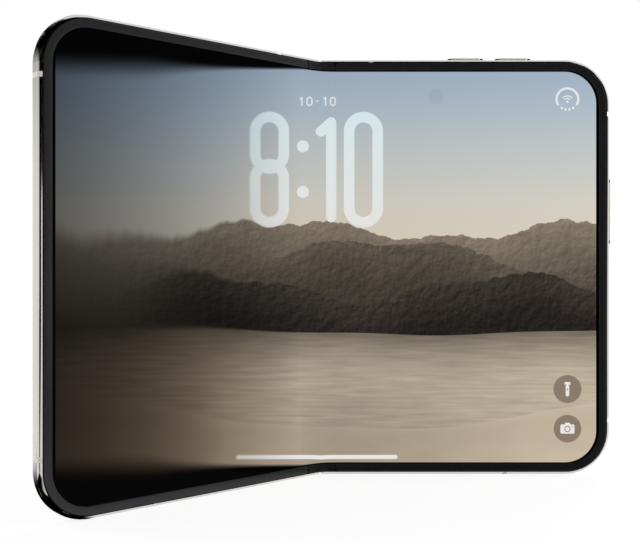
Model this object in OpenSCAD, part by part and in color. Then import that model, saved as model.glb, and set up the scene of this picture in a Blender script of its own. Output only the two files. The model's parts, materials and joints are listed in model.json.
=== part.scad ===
// Book-style folding phone: two half bodies, a geared two-axis hinge and one folding display.
// Flat frame of every half: X across, away from the fold; Y into the body, from the display side; Z up.
// The right half stays square to the axes, and the left half is swung open by fold_deg.

/* [Body] */
// Height of the phone along the fold
body_h = 120.6; // [116:0.1:130]
// Width of one half, from the fold plane to its outer edge
half_w = 84.2; // [82:0.1:92]
// Thickness of one half
body_t = 5.0; // [5:0.1:5.6]
// Radius of the outer corners, seen from the front
corner_r = 13; // [9:0.5:15]
// Radius of the long edges
edge_r = 1.6; // [1:0.1:1.8]
// Angle between the display planes, away from flat
fold_deg = 40; // [20:1:60]

/* [Frame walls] */
// Metal seen round the display side, which is also the end wall beside the hinge
rim_w = 0.9; // [0.8:0.05:1.1]
// Full depth of the side walls
wall_w = 1.8; // [1.5:0.1:2.2]
// Metal seen round the back glass
back_rim_w = 1.2; // [1:0.05:1.6]
// Thickness of the back glass and of the outer glass
back_t = 0.65; // [0.5:0.05:0.7]
// Radius of the frame's corners at the fold
fold_corner_r = 0.8; // [0.4:0.1:1.2]
// Gap between the two half frames when flat
fold_gap = 0.3; // [0.2:0.05:0.4]
// Width of the antenna bands
band_w = 1.3; // [0.8:0.1:2]
// Depth of the antenna bands
band_depth = 1.0; // [0.6:0.1:1.3]
// Distance of the side antenna bands from mid-height
band_z = 44.4; // [38:0.1:45]
// Distance of the upper band from the fold plane
upper_band_x = 14.8; // [12:0.1:20]
// Distance of the lower band from the fold plane
lower_band_x = 53.6; // [50.5:0.1:54]

/* [Display] */
// Width of the raised border
bezel_w = 2.4; // [2:0.1:3]
// Height of the border above the display
bezel_t = 0.3; // [0.2:0.05:0.35]
// Thickness of the display panel
panel_t = 0.55; // [0.4:0.05:0.6]
// Thickness of the mid plate under the display
plate_t = 0.6; // [0.5:0.05:0.7]
// Half width of the flexible zone over the fold
flex_half = 4.4; // [4.3:0.1:5]
// Side clearance of panels and glass in their pockets
fit = 0.04; // [0.02:0.01:0.06]

/* [Hinge] */
// Distance of each fold axis from the fold plane
axis_x = 0.4; // [0.38:0.01:0.45]
// Depth of the fold axes below the front plane
axis_y = 0.3; // [0.25:0.01:0.32]
// Clearance between the hinge spine and the half bodies
spine_gap = 0.15; // [0.12:0.01:0.2]
// Wall of the spine cover
spine_wall = 0.35; // [0.3:0.05:0.4]
// Distance of the guide blocks from mid-height
guide_z = 38; // [34:0.5:40]
// Length of each guide block
guide_len = 12; // [11:0.5:14]
// Length of each guide rail along the fold
rail_len = 4; // [3:0.5:4.5]
// Radial thickness of the guide rails
rail_t = 0.6; // [0.5:0.05:0.7]
// Running clearance of the rails and gears
run_fit = 0.05; // [0.04:0.01:0.06]
// Thickness of the arms that carry the rails
arm_t = 0.6; // [0.5:0.05:0.65]
// Width of each gear along the fold
gear_w = 2.2; // [1.8:0.1:3]
// Thickness of the two gear plates
gear_plate_t = 1.5; // [1:0.1:2]
// Radius of the idler shafts
shaft_r = 0.3; // [0.25:0.01:0.32]
// Thickness of the friction washers
washer_t = 0.25; // [0.2:0.05:0.3]

/* [Buttons] */
// Length of each volume button
volume_len = 10.4; // [9:0.1:11.5]
// Distance of the volume down button's centre from the fold plane
volume_down_x = 42.5; // [42:0.1:43]
// Distance of the volume up button's centre from the fold plane
volume_up_x = 56.3; // [56:0.1:57]
// How far the volume buttons stand out
volume_out = 0.65; // [0.4:0.05:0.8]
// Length of the side button
side_len = 18.9; // [16:0.1:20]
// Height of the side button's centre
side_z = 76.5; // [72:0.1:78]
// How far the side button stands out
side_out = 0.6; // [0.4:0.05:0.8]
// Thickness of the buttons across the edge
button_t = 1.7; // [1.4:0.05:1.75]
// Travel of every button
button_travel = 0.3; // [0.2:0.05:0.35]

/* [Cameras] */
// Width of the camera plateau
plateau_w = 31; // [29:0.5:33]
// Height of the camera plateau
plateau_h = 15; // [14:0.5:16]
// How far the plateau stands out of the back glass
plateau_t = 1.4; // [1:0.1:2]
// Distance from the plateau to the body's outer and upper edges
plateau_edge = 4.6; // [4.4:0.1:5.5]
// Outer radius of the lens rings
lens_r = 5.4; // [5:0.1:5.8]
// How far the lens rings stand out of the plateau
lens_t = 1.1; // [0.8:0.1:1.4]
// Wall of the lens rings
lens_wall = 0.9; // [0.7:0.1:1.1]
// Radius of the small cameras beside the displays
small_camera_r = 2.2; // [1.8:0.1:2.5]

/* [Port and speaker] */
// Width of the charging port's opening
port_w = 8.34; // [8.3:0.01:8.4]
// Height of the charging port's opening
port_h = 2.56; // [2.5:0.01:2.6]
// Depth of the charging port
port_depth = 7; // [6.5:0.1:7.5]
// Wall of the charging port's shell
port_wall = 0.15; // [0.12:0.01:0.2]
// Distance of the charging port from the fold plane
port_x = 42; // [41:0.5:43]
// Radius of the speaker and microphone holes
hole_r = 0.5; // [0.4:0.05:0.6]
// Distance between these holes
hole_pitch = 2.2; // [1.8:0.1:2.4]

/* [Hidden] */
$fn = 48;
extra = 1;
mid_z = body_h / 2;
core_x = half_w - corner_r;
fold_x = fold_gap / 2;

// Levels below the front plane
panel_y = bezel_t;
plate_y = panel_y + panel_t;
inside_y = plate_y + plate_t;
back_y = body_t - back_t;
inside_t = back_y - inside_y;

// Fold: half of the angle is turned about each axis
turn = fold_deg / 2;
right_axis = [axis_x, axis_y];
left_axis = [-axis_x, axis_y];

function turned(p, axis, deg) = let (d = p - axis)
    axis + [d.x * cos(deg) - d.y * sin(deg), d.x * sin(deg) + d.y * cos(deg)];
function left_at_rest(p) = turned(turned(p, left_axis, turn), right_axis, turn);

// Middle of the whole phone's outline at rest, which the origin lies under
min_x = left_at_rest([edge_r - half_w, body_t - edge_r]).x - edge_r;
min_y = left_at_rest([edge_r - half_w, edge_r]).y - edge_r;
max_x = half_w + side_out;
max_y = body_t + plateau_t + lens_t;
origin_x = (min_x + max_x) / 2;
origin_y = (min_y + max_y) / 2;

// The bent layers over the fold share one centre of curvature
flex_end = turned([flex_half, 0], right_axis, -turn);
flex_r = flex_end.x / sin(turn);
flex_y = flex_end.y - flex_r * cos(turn);
seam_deg = 0.15;

// Spine, nested in the half bodies under the fold
spine_r = back_y - axis_y - spine_gap;
spine_in_r = spine_r - spine_wall;
spine_z0 = rim_w + spine_gap;
spine_len = body_h - 2 * spine_z0;
cap_t = 0.8;
strip_w = 1.3;
hinge_bay_x = axis_x + spine_r + 2 * spine_gap;
wing_t = 0.2;
cover_y = plate_y + wing_t + 0.1;
window_margin = 0.3;

// Hinge bracket, arms and wing plates
wing_x = 3.3;
mid_plate_x = flex_half + 0.8;
arm_y = plate_y + wing_t + 0.06;
arm_low_y = arm_y + arm_t;
block_y = 1.3;
block_fit = 0.02;
block_wall = 0.55;
rail_out_r = spine_in_r - block_wall;
rail_in_r = rail_out_r - rail_t;
rail_start_deg = asin((arm_y + 2 * run_fit - axis_y) / rail_in_r);
rail_end_deg = 155;
rail_gap = 1;
bracket_w = 4.6;
bracket_t = 0.8;
bracket_end = 8;
bracket_x0 = hinge_bay_x + run_fit;
bracket_x1 = bracket_x0 + bracket_w;
bracket_y = arm_low_y + bracket_t;

// Gear train: a toothed sector on each bracket drives an idler, and the idlers mesh with each other
ring_teeth = 36;
idler_teeth = 12;
pressure_deg = 25;
ring_r = spine_in_r - 2 * run_fit;
ring_rim = 0.25;
ring_pitch_r = (ring_r - ring_rim) / (1 + 2.4 / ring_teeth);
gear_module = 2 * ring_pitch_r / ring_teeth;
idler_pitch_r = gear_module * idler_teeth / 2;
idler_y = axis_y + sqrt(pow(ring_pitch_r - idler_pitch_r, 2) - pow(idler_pitch_r - axis_x, 2));
idler_deg = -turn * ring_teeth / idler_teeth;
tooth_out = 0.85;
tooth_in = 1.1;
tooth_clear = 0.1;
backlash = 0.16;
gear_gap = 0.15;
washer_r = 0.8;
mesh_deg = atan2(idler_y - axis_y, idler_pitch_r - axis_x);
ring_end_deg = mesh_deg + 90 + 0.6 * 360 / ring_teeth;
idler_pitch_deg = 360 / idler_teeth;
// A tooth of the right idler points at the left idler, which has a space there
right_tooth_deg = 180 - idler_pitch_deg * round((180 - mesh_deg) / idler_pitch_deg);
left_tooth_deg = idler_pitch_deg * (round((180 - mesh_deg) / idler_pitch_deg - 0.5) + 0.5);
right_space_deg = mesh_deg + (right_tooth_deg - mesh_deg) * idler_teeth / ring_teeth;
left_space_deg = 180 - mesh_deg + (left_tooth_deg - 180 + mesh_deg) * idler_teeth / ring_teeth;
sector_z0 = mid_z - gear_w * 1.5 - gear_gap;
train_len = 3 * gear_w + 2 * gear_gap;
plate_z0 = mid_z - train_len / 2 - washer_t - gear_gap - gear_plate_t;
train_bay = 2 * (mid_z - plate_z0);

// Screws
screw_r = 0.5;
screw_head_r = 0.9;
screw_head_t = 0.35;
screw_edge = 1.6;
screw_end_gap = 0.1;
screw_x = bracket_x1 - screw_edge;
screw_end_y = plate_y + screw_end_gap;
screw_first_z = 9;
screw_pitch = 10;
bracket_screw_zs = [for (side = [-1, 1]) for (i = [0:3]) mid_z + side * (screw_first_z + i * screw_pitch)];
spine_screw_zs = [for (side = [-1, 1]) for (end = [-1, 1])
    mid_z + side * guide_z + end * (guide_len / 2 - screw_head_r)];

// Buttons
button_fit = 0.06;
button_flange = 0.5;
button_flange_t = 0.35;
dome_t = 0.3;
dome_r = 1;
flex_t = 0.15;
button_y = body_t / 2;

// Camera plateau, on the right half's back
plateau_x1 = half_w - plateau_edge;
plateau_x0 = plateau_x1 - plateau_w;
plateau_z1 = body_h - plateau_edge;
plateau_z0 = plateau_z1 - plateau_h;
plateau_y = body_t + plateau_t;
lens_z = (plateau_z0 + plateau_z1) / 2;
main_lens_x = plateau_x0 + plateau_h / 2;
wide_lens_x = plateau_x1 - plateau_h / 2;
camera_r = lens_r - lens_wall - 0.3;
camera_w = 10;
flash_r = 1.4;
flash_x = (main_lens_x + wide_lens_x) / 2;
flash_t = 0.5;
lens_sink = 0.3;
lens_lip = 0.2;

// Small cameras
inner_camera_x = 33.6;
inner_camera_z = body_h - 10.8;
outer_camera_x = -half_w / 2;

// Charging port and sound holes
port_r = port_h / 2 + port_wall;
port_z0 = 0.3;
port_end_t = 0.6;
port_margin = 1;
tongue_w = 6.6;
tongue_t = 0.7;
tongue_z0 = port_z0 + 1.4;
port_y = body_t / 2;

// Inner parts of the right half
part_gap = 0.05;
inside_part_t = inside_t - 2 * part_gap;
coil_t = 0.3;
battery_t = inside_part_t - coil_t - part_gap;
battery_side_gap = 2.2;
battery_x0 = bracket_x1 + battery_side_gap;
battery_x1 = half_w - wall_w - battery_side_gap;
low_part_gap = 0.5;
low_part_z0 = wall_w + low_part_gap;
low_part_h = 11.5;
board_h = 40.6;
board_edge = 4.2;
board_z1 = body_h - wall_w - board_edge;
board_z0 = board_z1 - board_h;
battery_gap = 2;
battery_z0 = low_part_z0 + low_part_h + battery_gap;
battery_z1 = board_z0 - battery_gap;
coil_x = (battery_x0 + battery_x1) / 2;
coil_z = (battery_z0 + battery_z1) / 2;
coil_out_r = 24;
coil_in_r = 13;
board_x1 = plateau_x0 - battery_gap;
board_t = 0.9;
shield_inset = 3;
shield_gap = 1;
hole_inset = 1.5;
port_clear = 6;
band_clear = 1;
speaker_x0 = lower_band_x + band_w / 2 + band_clear;
speaker_x1 = core_x;
hole_count = 1 + floor((speaker_x1 - speaker_x0 - 2 * hole_inset) / hole_pitch);
hinge_flex_w = 12;
hinge_flex_rise = 12;
hinge_flex_z0 = mid_z + hinge_flex_rise;
hinge_flex_y = plate_y + wing_t + 2 * part_gap;

// Inner parts of the left half
outer_panel_t = 0.6;
outer_panel_inset = 5;
earpiece_x0 = 20;
earpiece_w = 13;
left_part_t = inside_part_t - outer_panel_t - 2 * part_gap;
left_battery_z0 = battery_z0 + battery_gap;
left_battery_z1 = inner_camera_z - small_camera_r - 2 * battery_gap;

// ---- Placing: the flat frames of the right half, the spine and the left half, moved to rest ----
module about(axis, deg) {
    translate([axis.x, axis.y, 0]) rotate([0, 0, deg]) translate([-axis.x, -axis.y, 0]) children();
}

module on_right() {
    translate([-origin_x, -origin_y, 0]) children();
}

module on_spine() {
    on_right() about(right_axis, turn) children();
}

module on_left() {
    on_spine() about(left_axis, turn) children();
}

// ---- Shared shapes ----
// Sweeps a section round the top, outer side and bottom of a half. The section's X runs out from the
// corner's centre, and its Y runs into the body.
module around_rim(x0) {
    run = core_x - x0;
    translate([x0, 0, corner_r]) rotate([0, 90, 0]) linear_extrude(run) children();
    translate([core_x, 0, corner_r]) linear_extrude(body_h - 2 * corner_r) children();
    translate([core_x, 0, body_h - corner_r]) rotate([0, -90, 0]) linear_extrude(run) children();
    translate([core_x, 0, corner_r]) rotate([-90, 0, 0]) rotate_extrude(angle = 90) children();
    translate([core_x, 0, body_h - corner_r]) rotate([-90, 0, 0]) rotate([0, 0, -90])
        rotate_extrude(angle = 90) children();
}

// A flat plate with the half's outline, moved in by inset
module half_plate(inset, y0, y1, x0) {
    around_rim(x0) translate([0, y0]) square([corner_r - inset, y1 - y0]);
    translate([x0, y0, corner_r]) cube([core_x - x0, y1 - y0, body_h - 2 * corner_r]);
}

// The solid half body with rounded long edges
module half_body(x0) {
    around_rim(x0) {
        square([corner_r - edge_r, body_t]);
        edge_section();
    }
    translate([x0, 0, corner_r]) cube([core_x - x0, body_t, body_h - 2 * corner_r]);
}

// The outer edge_r of the half body's section
module edge_section() {
    translate([corner_r - edge_r, edge_r]) square([edge_r, body_t - 2 * edge_r]);
    edge_round();
}

// The two rounded corners of the half body's section
module edge_round() {
    intersection() {
        translate([corner_r - edge_r, edge_r]) circle(r = edge_r);
        translate([corner_r - edge_r, 0]) square([edge_r, edge_r]);
    }
    intersection() {
        translate([corner_r - edge_r, body_t - edge_r]) circle(r = edge_r);
        translate([corner_r - edge_r, body_t - edge_r]) square([edge_r, edge_r]);
    }
}

// A box from one corner to the opposite one
module box(from, to) {
    translate(from) cube(to - from);
}

// A plate with rounded corners, seen from the front
module rounded_plate(x0, x1, z0, z1, r, y0, y1) {
    box([x0 + r, y0, z0], [x1 - r, y1, z1]);
    for (side = [[x0 + r, 90], [x1 - r, -90]]) {
        box([side.x - (side.y > 0 ? r : 0), y0, z0 + r], [side.x + (side.y > 0 ? 0 : r), y1, z1 - r]);
    }
    for (corner = [[x1 - r, z0 + r, 0], [x0 + r, z0 + r, 90],
                   [x0 + r, z1 - r, 180], [x1 - r, z1 - r, 270]]) {
        translate([corner.x, y0, corner.y]) rotate([-90, 0, 0]) rotate([0, 0, corner.z])
            rotate_extrude(angle = 90) square([r, y1 - y0]);
    }
}

// A straight bar with round ends, along X and extruded along Z
module pill(length, width, height) {
    translate([-(length - width) / 2, -width / 2, 0]) cube([length - width, width, height]);
    for (side = [-1, 1]) {
        translate([side * (length - width) / 2, 0, 0]) rotate([0, 0, -90 * side])
            rotate_extrude(angle = 180) square([width / 2, height]);
    }
}

// A round post or hole through the body's thickness
module across(x, z, r, y0, y1) {
    translate([x, y0, z]) rotate([-90, 0, 0]) cylinder(r = r, h = y1 - y0);
}

// The half-round section of the spine about both fold axes, from y0 down
module spine_bar(r, y0, z0, z1) {
    intersection() {
        union() {
            for (side = [-1, 1]) {
                translate([side * axis_x, axis_y, z0]) rotate([0, 0, 45 - 45 * side])
                    rotate_extrude(angle = 90) square([r, z1 - z0]);
            }
            box([-axis_x, axis_y, z0], [axis_x, axis_y + r, z1]);
        }
        box([-axis_x - r - extra, y0, z0 - extra], [axis_x + r + extra, body_t + extra, z1 + extra]);
    }
}

// A layer of the folding display or border, bent over the fold
module bent_layer(y0, y1, z0, z1) {
    bend = turn - seam_deg;
    translate([0, flex_y, z0]) rotate([0, 0, 90 - bend]) rotate_extrude(angle = 2 * bend)
        translate([flex_r + y0, 0]) square([y1 - y0, z1 - z0]);
}

// The rows of the antenna bands: bars that cross the rim at each place
module band_bars() {
    for (side = [-1, 1]) {
        box([core_x, -extra, mid_z + side * band_z - band_w / 2],
            [half_w + extra, body_t + extra, mid_z + side * band_z + band_w / 2]);
    }
    box([upper_band_x - band_w / 2, -extra, body_h - corner_r],
        [upper_band_x + band_w / 2, body_t + extra, body_h + extra]);
    box([lower_band_x - band_w / 2, -extra, -extra],
        [lower_band_x + band_w / 2, body_t + extra, corner_r]);
}

// The outer skin of the rim that the antenna bands fill
module rim_skin() {
    around_rim(fold_x) {
        difference() {
            edge_section();
            translate([0, band_depth]) square([corner_r - band_depth, body_t - 2 * band_depth]);
            translate([0, -extra]) square([corner_r - rim_w, band_depth + 2 * extra]);
            translate([0, body_t - band_depth - extra])
                square([corner_r - back_rim_w, band_depth + 2 * extra]);
        }
    }
}

module antenna_bands() {
    intersection() {
        rim_skin();
        band_bars();
    }
}

// Metal frame of one half, without the openings that only one half has
module half_frame() {
    difference() {
        half_body(fold_x);
        half_plate(rim_w, -extra, inside_y, -extra);
        half_plate(wall_w, inside_y - extra, back_y, strip_w);
        half_plate(back_rim_w, back_y - extra / 2, body_t + extra, strip_w);
        box([-extra, -extra, rim_w], [hinge_bay_x, back_y, body_h - rim_w]);
        fold_corners();
        antenna_bands();
    }
}

// Rounds the frame's two corners at the fold
module fold_corners() {
    for (corner = [[0, -1], [body_h, 1]]) {
        edge_z = corner.x - corner.y * fold_corner_r;
        difference() {
            box([fold_x - extra, -extra, min(edge_z, corner.x + corner.y * extra)],
                [fold_x + fold_corner_r, body_t + extra, max(edge_z, corner.x + corner.y * extra)]);
            across(fold_x + fold_corner_r, edge_z, fold_corner_r, -2 * extra, body_t + 2 * extra);
        }
    }
}

// Raised border round three sides of a half
module half_bezel() {
    around_rim(flex_half) translate([corner_r - rim_w - bezel_w, 0]) square([bezel_w - fit, bezel_t]);
}

// Rigid part of the display panel, under the border's edges
module half_display() {
    half_plate(rim_w + fit, panel_y, plate_y, flex_half);
}

// Steel plate that carries the display beside the fold
module wing_plate() {
    box([wing_x, plate_y, spine_z0], [mid_plate_x - fit, plate_y + wing_t, body_h - spine_z0]);
}

// Screw with its head on the bracket, and its shank up into the mid plate
module bracket_screws() {
    for (z = bracket_screw_zs) {
        across(screw_x, z, screw_r, screw_end_y, bracket_y);
        across(screw_x, z, screw_head_r, bracket_y, bracket_y + screw_head_t);
    }
}

// Holes for the bracket screws
module bracket_screw_holes() {
    for (z = bracket_screw_zs) {
        across(screw_x, z, screw_r, screw_end_y, body_t);
    }
}

// A ring sector about the right fold axis
module sector(r_in, r_out, from_deg, to_deg, z0, z1) {
    translate([axis_x, axis_y, z0]) rotate([0, 0, from_deg]) rotate_extrude(angle = to_deg - from_deg)
        translate([r_in, 0]) square([r_out - r_in, z1 - z0]);
}

// Hinge bracket: a plate fixed to the half, two guide rails and a toothed sector about the fold axis.
// The left bracket is the same shape turned round, with its teeth half a pitch on.
module hinge_bracket(space_deg) {
    difference() {
        union() {
            box([bracket_x0, inside_y + part_gap, bracket_end],
                [bracket_x1, bracket_y, body_h - bracket_end]);
            for (module_z = [mid_z - guide_z, mid_z + guide_z]) {
                rail_arm(module_z - rail_gap / 2 - rail_len, module_z - rail_gap / 2, rail_out_r);
                sector(rail_in_r, rail_out_r, rail_start_deg, rail_end_deg,
                    module_z - rail_gap / 2 - rail_len, module_z - rail_gap / 2);
            }
            rail_arm(sector_z0, sector_z0 + gear_w, ring_r);
            toothed_sector(space_deg);
        }
        bracket_screw_holes();
    }
}

// Arm from the bracket's plate to a rail or the toothed sector
module rail_arm(z0, z1, r) {
    box([arm_x(r), arm_y, z0], [mid_plate_x - fit, arm_low_y, z1]);
    box([bracket_x0, arm_y + arm_t / 2, z0], [mid_plate_x - fit, bracket_y, z1]);
}

// Toothed sector: a ring sector less the gear that would fill it
module toothed_sector(space_deg) {
    difference() {
        sector(ring_pitch_r - tooth_out * gear_module, ring_r, rail_start_deg, ring_end_deg,
            sector_z0, sector_z0 + gear_w);
        translate([axis_x, axis_y, sector_z0 - extra]) rotate([0, 0, space_deg])
            linear_extrude(gear_w + 2 * extra)
                gear_outline(ring_teeth, -backlash, tooth_out + tooth_clear, tooth_in + tooth_clear);
    }
}

// Where an arm meets a ring of outer radius r
function arm_x(r) = axis_x + sqrt(pow(r, 2) - pow(arm_low_y - axis_y, 2)) - rail_t;

// Angle in degrees between a tooth's middle and its flank at radius r
function flank_deg(teeth, play, r) = let (
    base_r = gear_module * teeth / 2 * cos(pressure_deg),
    at = acos(min(1, base_r / r)),
    involute = function(a) tan(a) * 180 / PI - a
) (90 - 90 * play) / teeth + involute(pressure_deg) - involute(at);

function polar(r, deg) = r * [cos(deg), sin(deg)];

// Outline of a gear with teeth that reach from the root to the tip, both as shares of the module
module gear_outline(teeth, play, root, tip) {
    pitch_r = gear_module * teeth / 2;
    rs = [for (i = [0:3]) pitch_r + gear_module * (-root + (root + tip) * i / 3)];
    polygon([for (k = [0:teeth - 1]) each concat(
        [for (r = rs) polar(r, 360 * k / teeth - flank_deg(teeth, play, r))],
        [for (i = [3:-1:0]) polar(rs[i], 360 * k / teeth + flank_deg(teeth, play, rs[i]))]
    )]);
}

// One idler gear on its shaft, from z0 to z1, with a tooth at tooth_deg
module idler(tooth_deg, z0, z1) {
    translate([0, 0, z0]) difference() {
        rotate([0, 0, tooth_deg]) linear_extrude(z1 - z0)
            gear_outline(idler_teeth, backlash, tooth_in, tooth_out);
        translate([0, 0, -extra]) cylinder(r = shaft_r + run_fit, h = z1 - z0 + 2 * extra);
    }
}

// ---- Right half: frame and covers ----
module right_frame() {
    color("#d9d4cb") on_right() difference() {
        half_frame();
        button_slots();
        port_hole();
        sound_holes();
    }
}

module button_slots() {
    for (x = [volume_down_x, volume_up_x]) {
        volume_place(x) translate([0, 0, -wall_w - extra])
            pill(volume_len + 2 * button_fit, button_t + 2 * button_fit, wall_w + 2 * extra);
    }
    side_place() translate([0, 0, -wall_w - extra])
        pill(side_len + 2 * button_fit, button_t + 2 * button_fit, wall_w + 2 * extra);
}

module volume_place(x) {
    translate([x, button_y, body_h]) children();
}

module side_place() {
    translate([half_w, button_y, side_z]) rotate([0, 90, 0]) children();
}

module port_place() {
    translate([port_x, port_y, port_z0]) children();
}

module port_hole() {
    port_place() translate([0, 0, -extra])
        pill(port_w + 2 * port_wall + 2 * fit, 2 * (port_r + fit), port_depth + 2 * extra);
}

module sound_holes() {
    for (i = [0:hole_count - 1]) {
        right_x = speaker_x0 + hole_inset + i * hole_pitch;
        left_x = port_x - port_w / 2 - port_clear - i * hole_pitch;
        for (x = [left_x, right_x]) {
            translate([x, body_t / 2, -extra]) cylinder(r = hole_r, h = wall_w + 2 * extra);
        }
    }
}

module right_mid_plate() {
    color("#9aa0a6") on_right() difference() {
        half_plate(rim_w + fit, plate_y, inside_y, mid_plate_x);
        across(inner_camera_x, inner_camera_z, small_camera_r + part_gap, 0, body_t);
        box([port_x - port_w / 2 - port_margin, 0, -extra],
            [port_x + port_w / 2 + port_margin, body_t, port_depth + port_margin]);
        bracket_screw_holes();
    }
}

module right_display() {
    color("#6d7f8c") on_right() half_display();
}

module right_bezel() {
    color("#161616") on_right() half_bezel();
}

module right_back_glass() {
    color("#cfcac1") on_right() difference() {
        half_plate(back_rim_w + fit, back_y, body_t, strip_w + fit);
        for (x = [main_lens_x, wide_lens_x]) {
            across(x, lens_z, camera_r + part_gap, 0, body_t + extra);
        }
    }
}

module right_wing_plate() {
    color("#8d9299") on_right() wing_plate();
}

module right_hinge_bracket() {
    color("#7b8087") on_right() hinge_bracket(right_space_deg);
}

module right_bracket_screws() {
    color("#b9bdc2") on_right() bracket_screws();
}

module right_antenna_bands() {
    color("#b9b6b0") on_right() antenna_bands();
}

// ---- Cameras ----
module camera_plateau() {
    color("#d2cdc4") on_right() difference() {
        rounded_plate(plateau_x0, plateau_x1, plateau_z0, plateau_z1, plateau_h / 2 - fit,
            body_t, plateau_y);
        for (x = [main_lens_x, wide_lens_x]) {
            across(x, lens_z, camera_r + part_gap, 0, plateau_y + extra);
        }
        across(flash_x, lens_z, flash_r + fit, plateau_y - flash_t, plateau_y + extra);
    }
}

module lens_ring(x) {
    on_right() difference() {
        across(x, lens_z, lens_r, plateau_y, plateau_y + lens_t);
        across(x, lens_z, lens_r - lens_wall, plateau_y - extra, plateau_y + lens_t + extra);
    }
}

module lens_glass(x) {
    on_right() across(x, lens_z, lens_r - lens_wall - fit,
        plateau_y + lens_sink, plateau_y + lens_t - lens_lip);
}

module camera_module(x) {
    on_right() {
        box([x - camera_w / 2, inside_y + part_gap, lens_z - camera_w / 2],
            [x + camera_w / 2, back_y - part_gap, lens_z + camera_w / 2]);
        across(x, lens_z, camera_r, back_y - part_gap, plateau_y + lens_sink - part_gap);
    }
}

module main_lens_ring() {
    color("#c4bfb6") lens_ring(main_lens_x);
}

module wide_lens_ring() {
    color("#c4bfb6") lens_ring(wide_lens_x);
}

module main_lens_glass() {
    color("#101418") lens_glass(main_lens_x);
}

module wide_lens_glass() {
    color("#101418") lens_glass(wide_lens_x);
}

module main_camera() {
    color("#202326") camera_module(main_lens_x);
}

module wide_camera() {
    color("#202326") camera_module(wide_lens_x);
}

module flash() {
    color("#efe8d2") on_right() across(flash_x, lens_z, flash_r, plateau_y - flash_t, plateau_y);
}

module inner_camera() {
    color("#24272b") on_right()
        across(inner_camera_x, inner_camera_z, small_camera_r, plate_y + part_gap, back_y - inside_t / 3);
}

// ---- Right half: inner parts ----
module logic_board() {
    color("#1f5a3a") on_right() difference() {
        box([battery_x0, back_y - part_gap - board_t, board_z0], [board_x1, back_y - part_gap, board_z1]);
        across(inner_camera_x, inner_camera_z, small_camera_r + 3 * part_gap, 0, body_t);
    }
}

module board_shield() {
    color("#b4b8bd") on_right()
        box([battery_x0 + shield_inset, inside_y + part_gap, board_z0 + shield_inset],
            [board_x1 - shield_inset, back_y - part_gap - board_t,
                inner_camera_z - small_camera_r - shield_gap]);
}

module right_battery() {
    color("#2b2d30") on_right()
        box([battery_x0, inside_y + part_gap, battery_z0],
            [battery_x1, inside_y + part_gap + battery_t, battery_z1]);
}

module charging_coil() {
    color("#b06a3a") on_right() difference() {
        across(coil_x, coil_z, coil_out_r, back_y - part_gap - coil_t, back_y - part_gap);
        across(coil_x, coil_z, coil_in_r, 0, body_t);
    }
}

module charging_port() {
    color("#8f959c") on_right() {
        difference() {
            port_place() pill(port_w + 2 * port_wall, 2 * port_r, port_depth);
            port_place() translate([0, 0, -extra]) pill(port_w, port_h, port_depth - port_end_t + extra);
        }
        box([port_x - tongue_w / 2, port_y - tongue_t / 2, tongue_z0],
            [port_x + tongue_w / 2, port_y + tongue_t / 2, port_z0 + port_depth]);
    }
}

module loudspeaker() {
    color("#2e3136") on_right()
        box([speaker_x0, inside_y + part_gap, low_part_z0],
            [speaker_x1, back_y - part_gap, low_part_z0 + low_part_h]);
}

module haptic_motor() {
    color("#9aa0a6") on_right()
        box([battery_x0, inside_y + part_gap, low_part_z0],
            [port_x - port_w / 2 - 2 * port_margin, back_y - part_gap, low_part_z0 + low_part_h]);
}

// ---- Buttons: a cap through the wall and a flange inside it, over a dome on the button flex ----
module button(length, out) {
    translate([0, 0, -wall_w - button_fit]) pill(length, button_t, wall_w + button_fit + out);
    translate([0, 0, -wall_w - button_fit - button_flange_t])
        pill(length + 2 * button_flange, button_t, button_flange_t);
}

module volume_up_button() {
    color("#cbc6bd") on_right() volume_place(volume_up_x) button(volume_len, volume_out);
}

module volume_down_button() {
    color("#cbc6bd") on_right() volume_place(volume_down_x) button(volume_len, volume_out);
}

module side_button() {
    color("#cbc6bd") on_right() side_place() button(side_len, side_out);
}

// Level of the button flex below the edge's outer face
flex_depth = wall_w + button_fit + button_flange_t + button_travel + part_gap + dome_t;

module button_flex() {
    color("#8a5a2b") on_right() {
        intersection() {
            around_rim(volume_down_x - volume_len / 2)
                translate([corner_r - flex_depth - flex_t, inside_y + part_gap])
                    square([flex_t, inside_part_t]);
            box([0, 0, side_z - side_len / 2], [half_w, body_t, body_h]);
        }
        for (x = [volume_down_x, volume_up_x]) {
            volume_place(x) translate([0, 0, -flex_depth]) cylinder(r = dome_r, h = dome_t);
        }
        side_place() translate([0, 0, -flex_depth]) cylinder(r = dome_r, h = dome_t);
    }
}

// ---- Left half: the right half's shapes mirrored, with the outer display on its back ----
module mirrored() {
    on_left() mirror([1, 0, 0]) children();
}

module left_frame() {
    color("#d9d4cb") mirrored() half_frame();
}

module left_mid_plate() {
    color("#9aa0a6") mirrored() difference() {
        half_plate(rim_w + fit, plate_y, inside_y, mid_plate_x);
        bracket_screw_holes();
    }
}

module left_display() {
    color("#56626b") mirrored() half_display();
}

module left_bezel() {
    color("#161616") mirrored() half_bezel();
}

module left_wing_plate() {
    color("#8d9299") mirrored() wing_plate();
}

module left_hinge_bracket() {
    color("#7b8087") on_left() translate([0, 0, body_h]) rotate([0, 180, 0])
        hinge_bracket(180 - left_space_deg);
}

module left_bracket_screws() {
    color("#b9bdc2") mirrored() bracket_screws();
}

module left_antenna_bands() {
    color("#b9b6b0") mirrored() antenna_bands();
}

module outer_glass() {
    color("#15181b") mirrored() half_plate(back_rim_w + fit, back_y, body_t, strip_w + fit);
}

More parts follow.
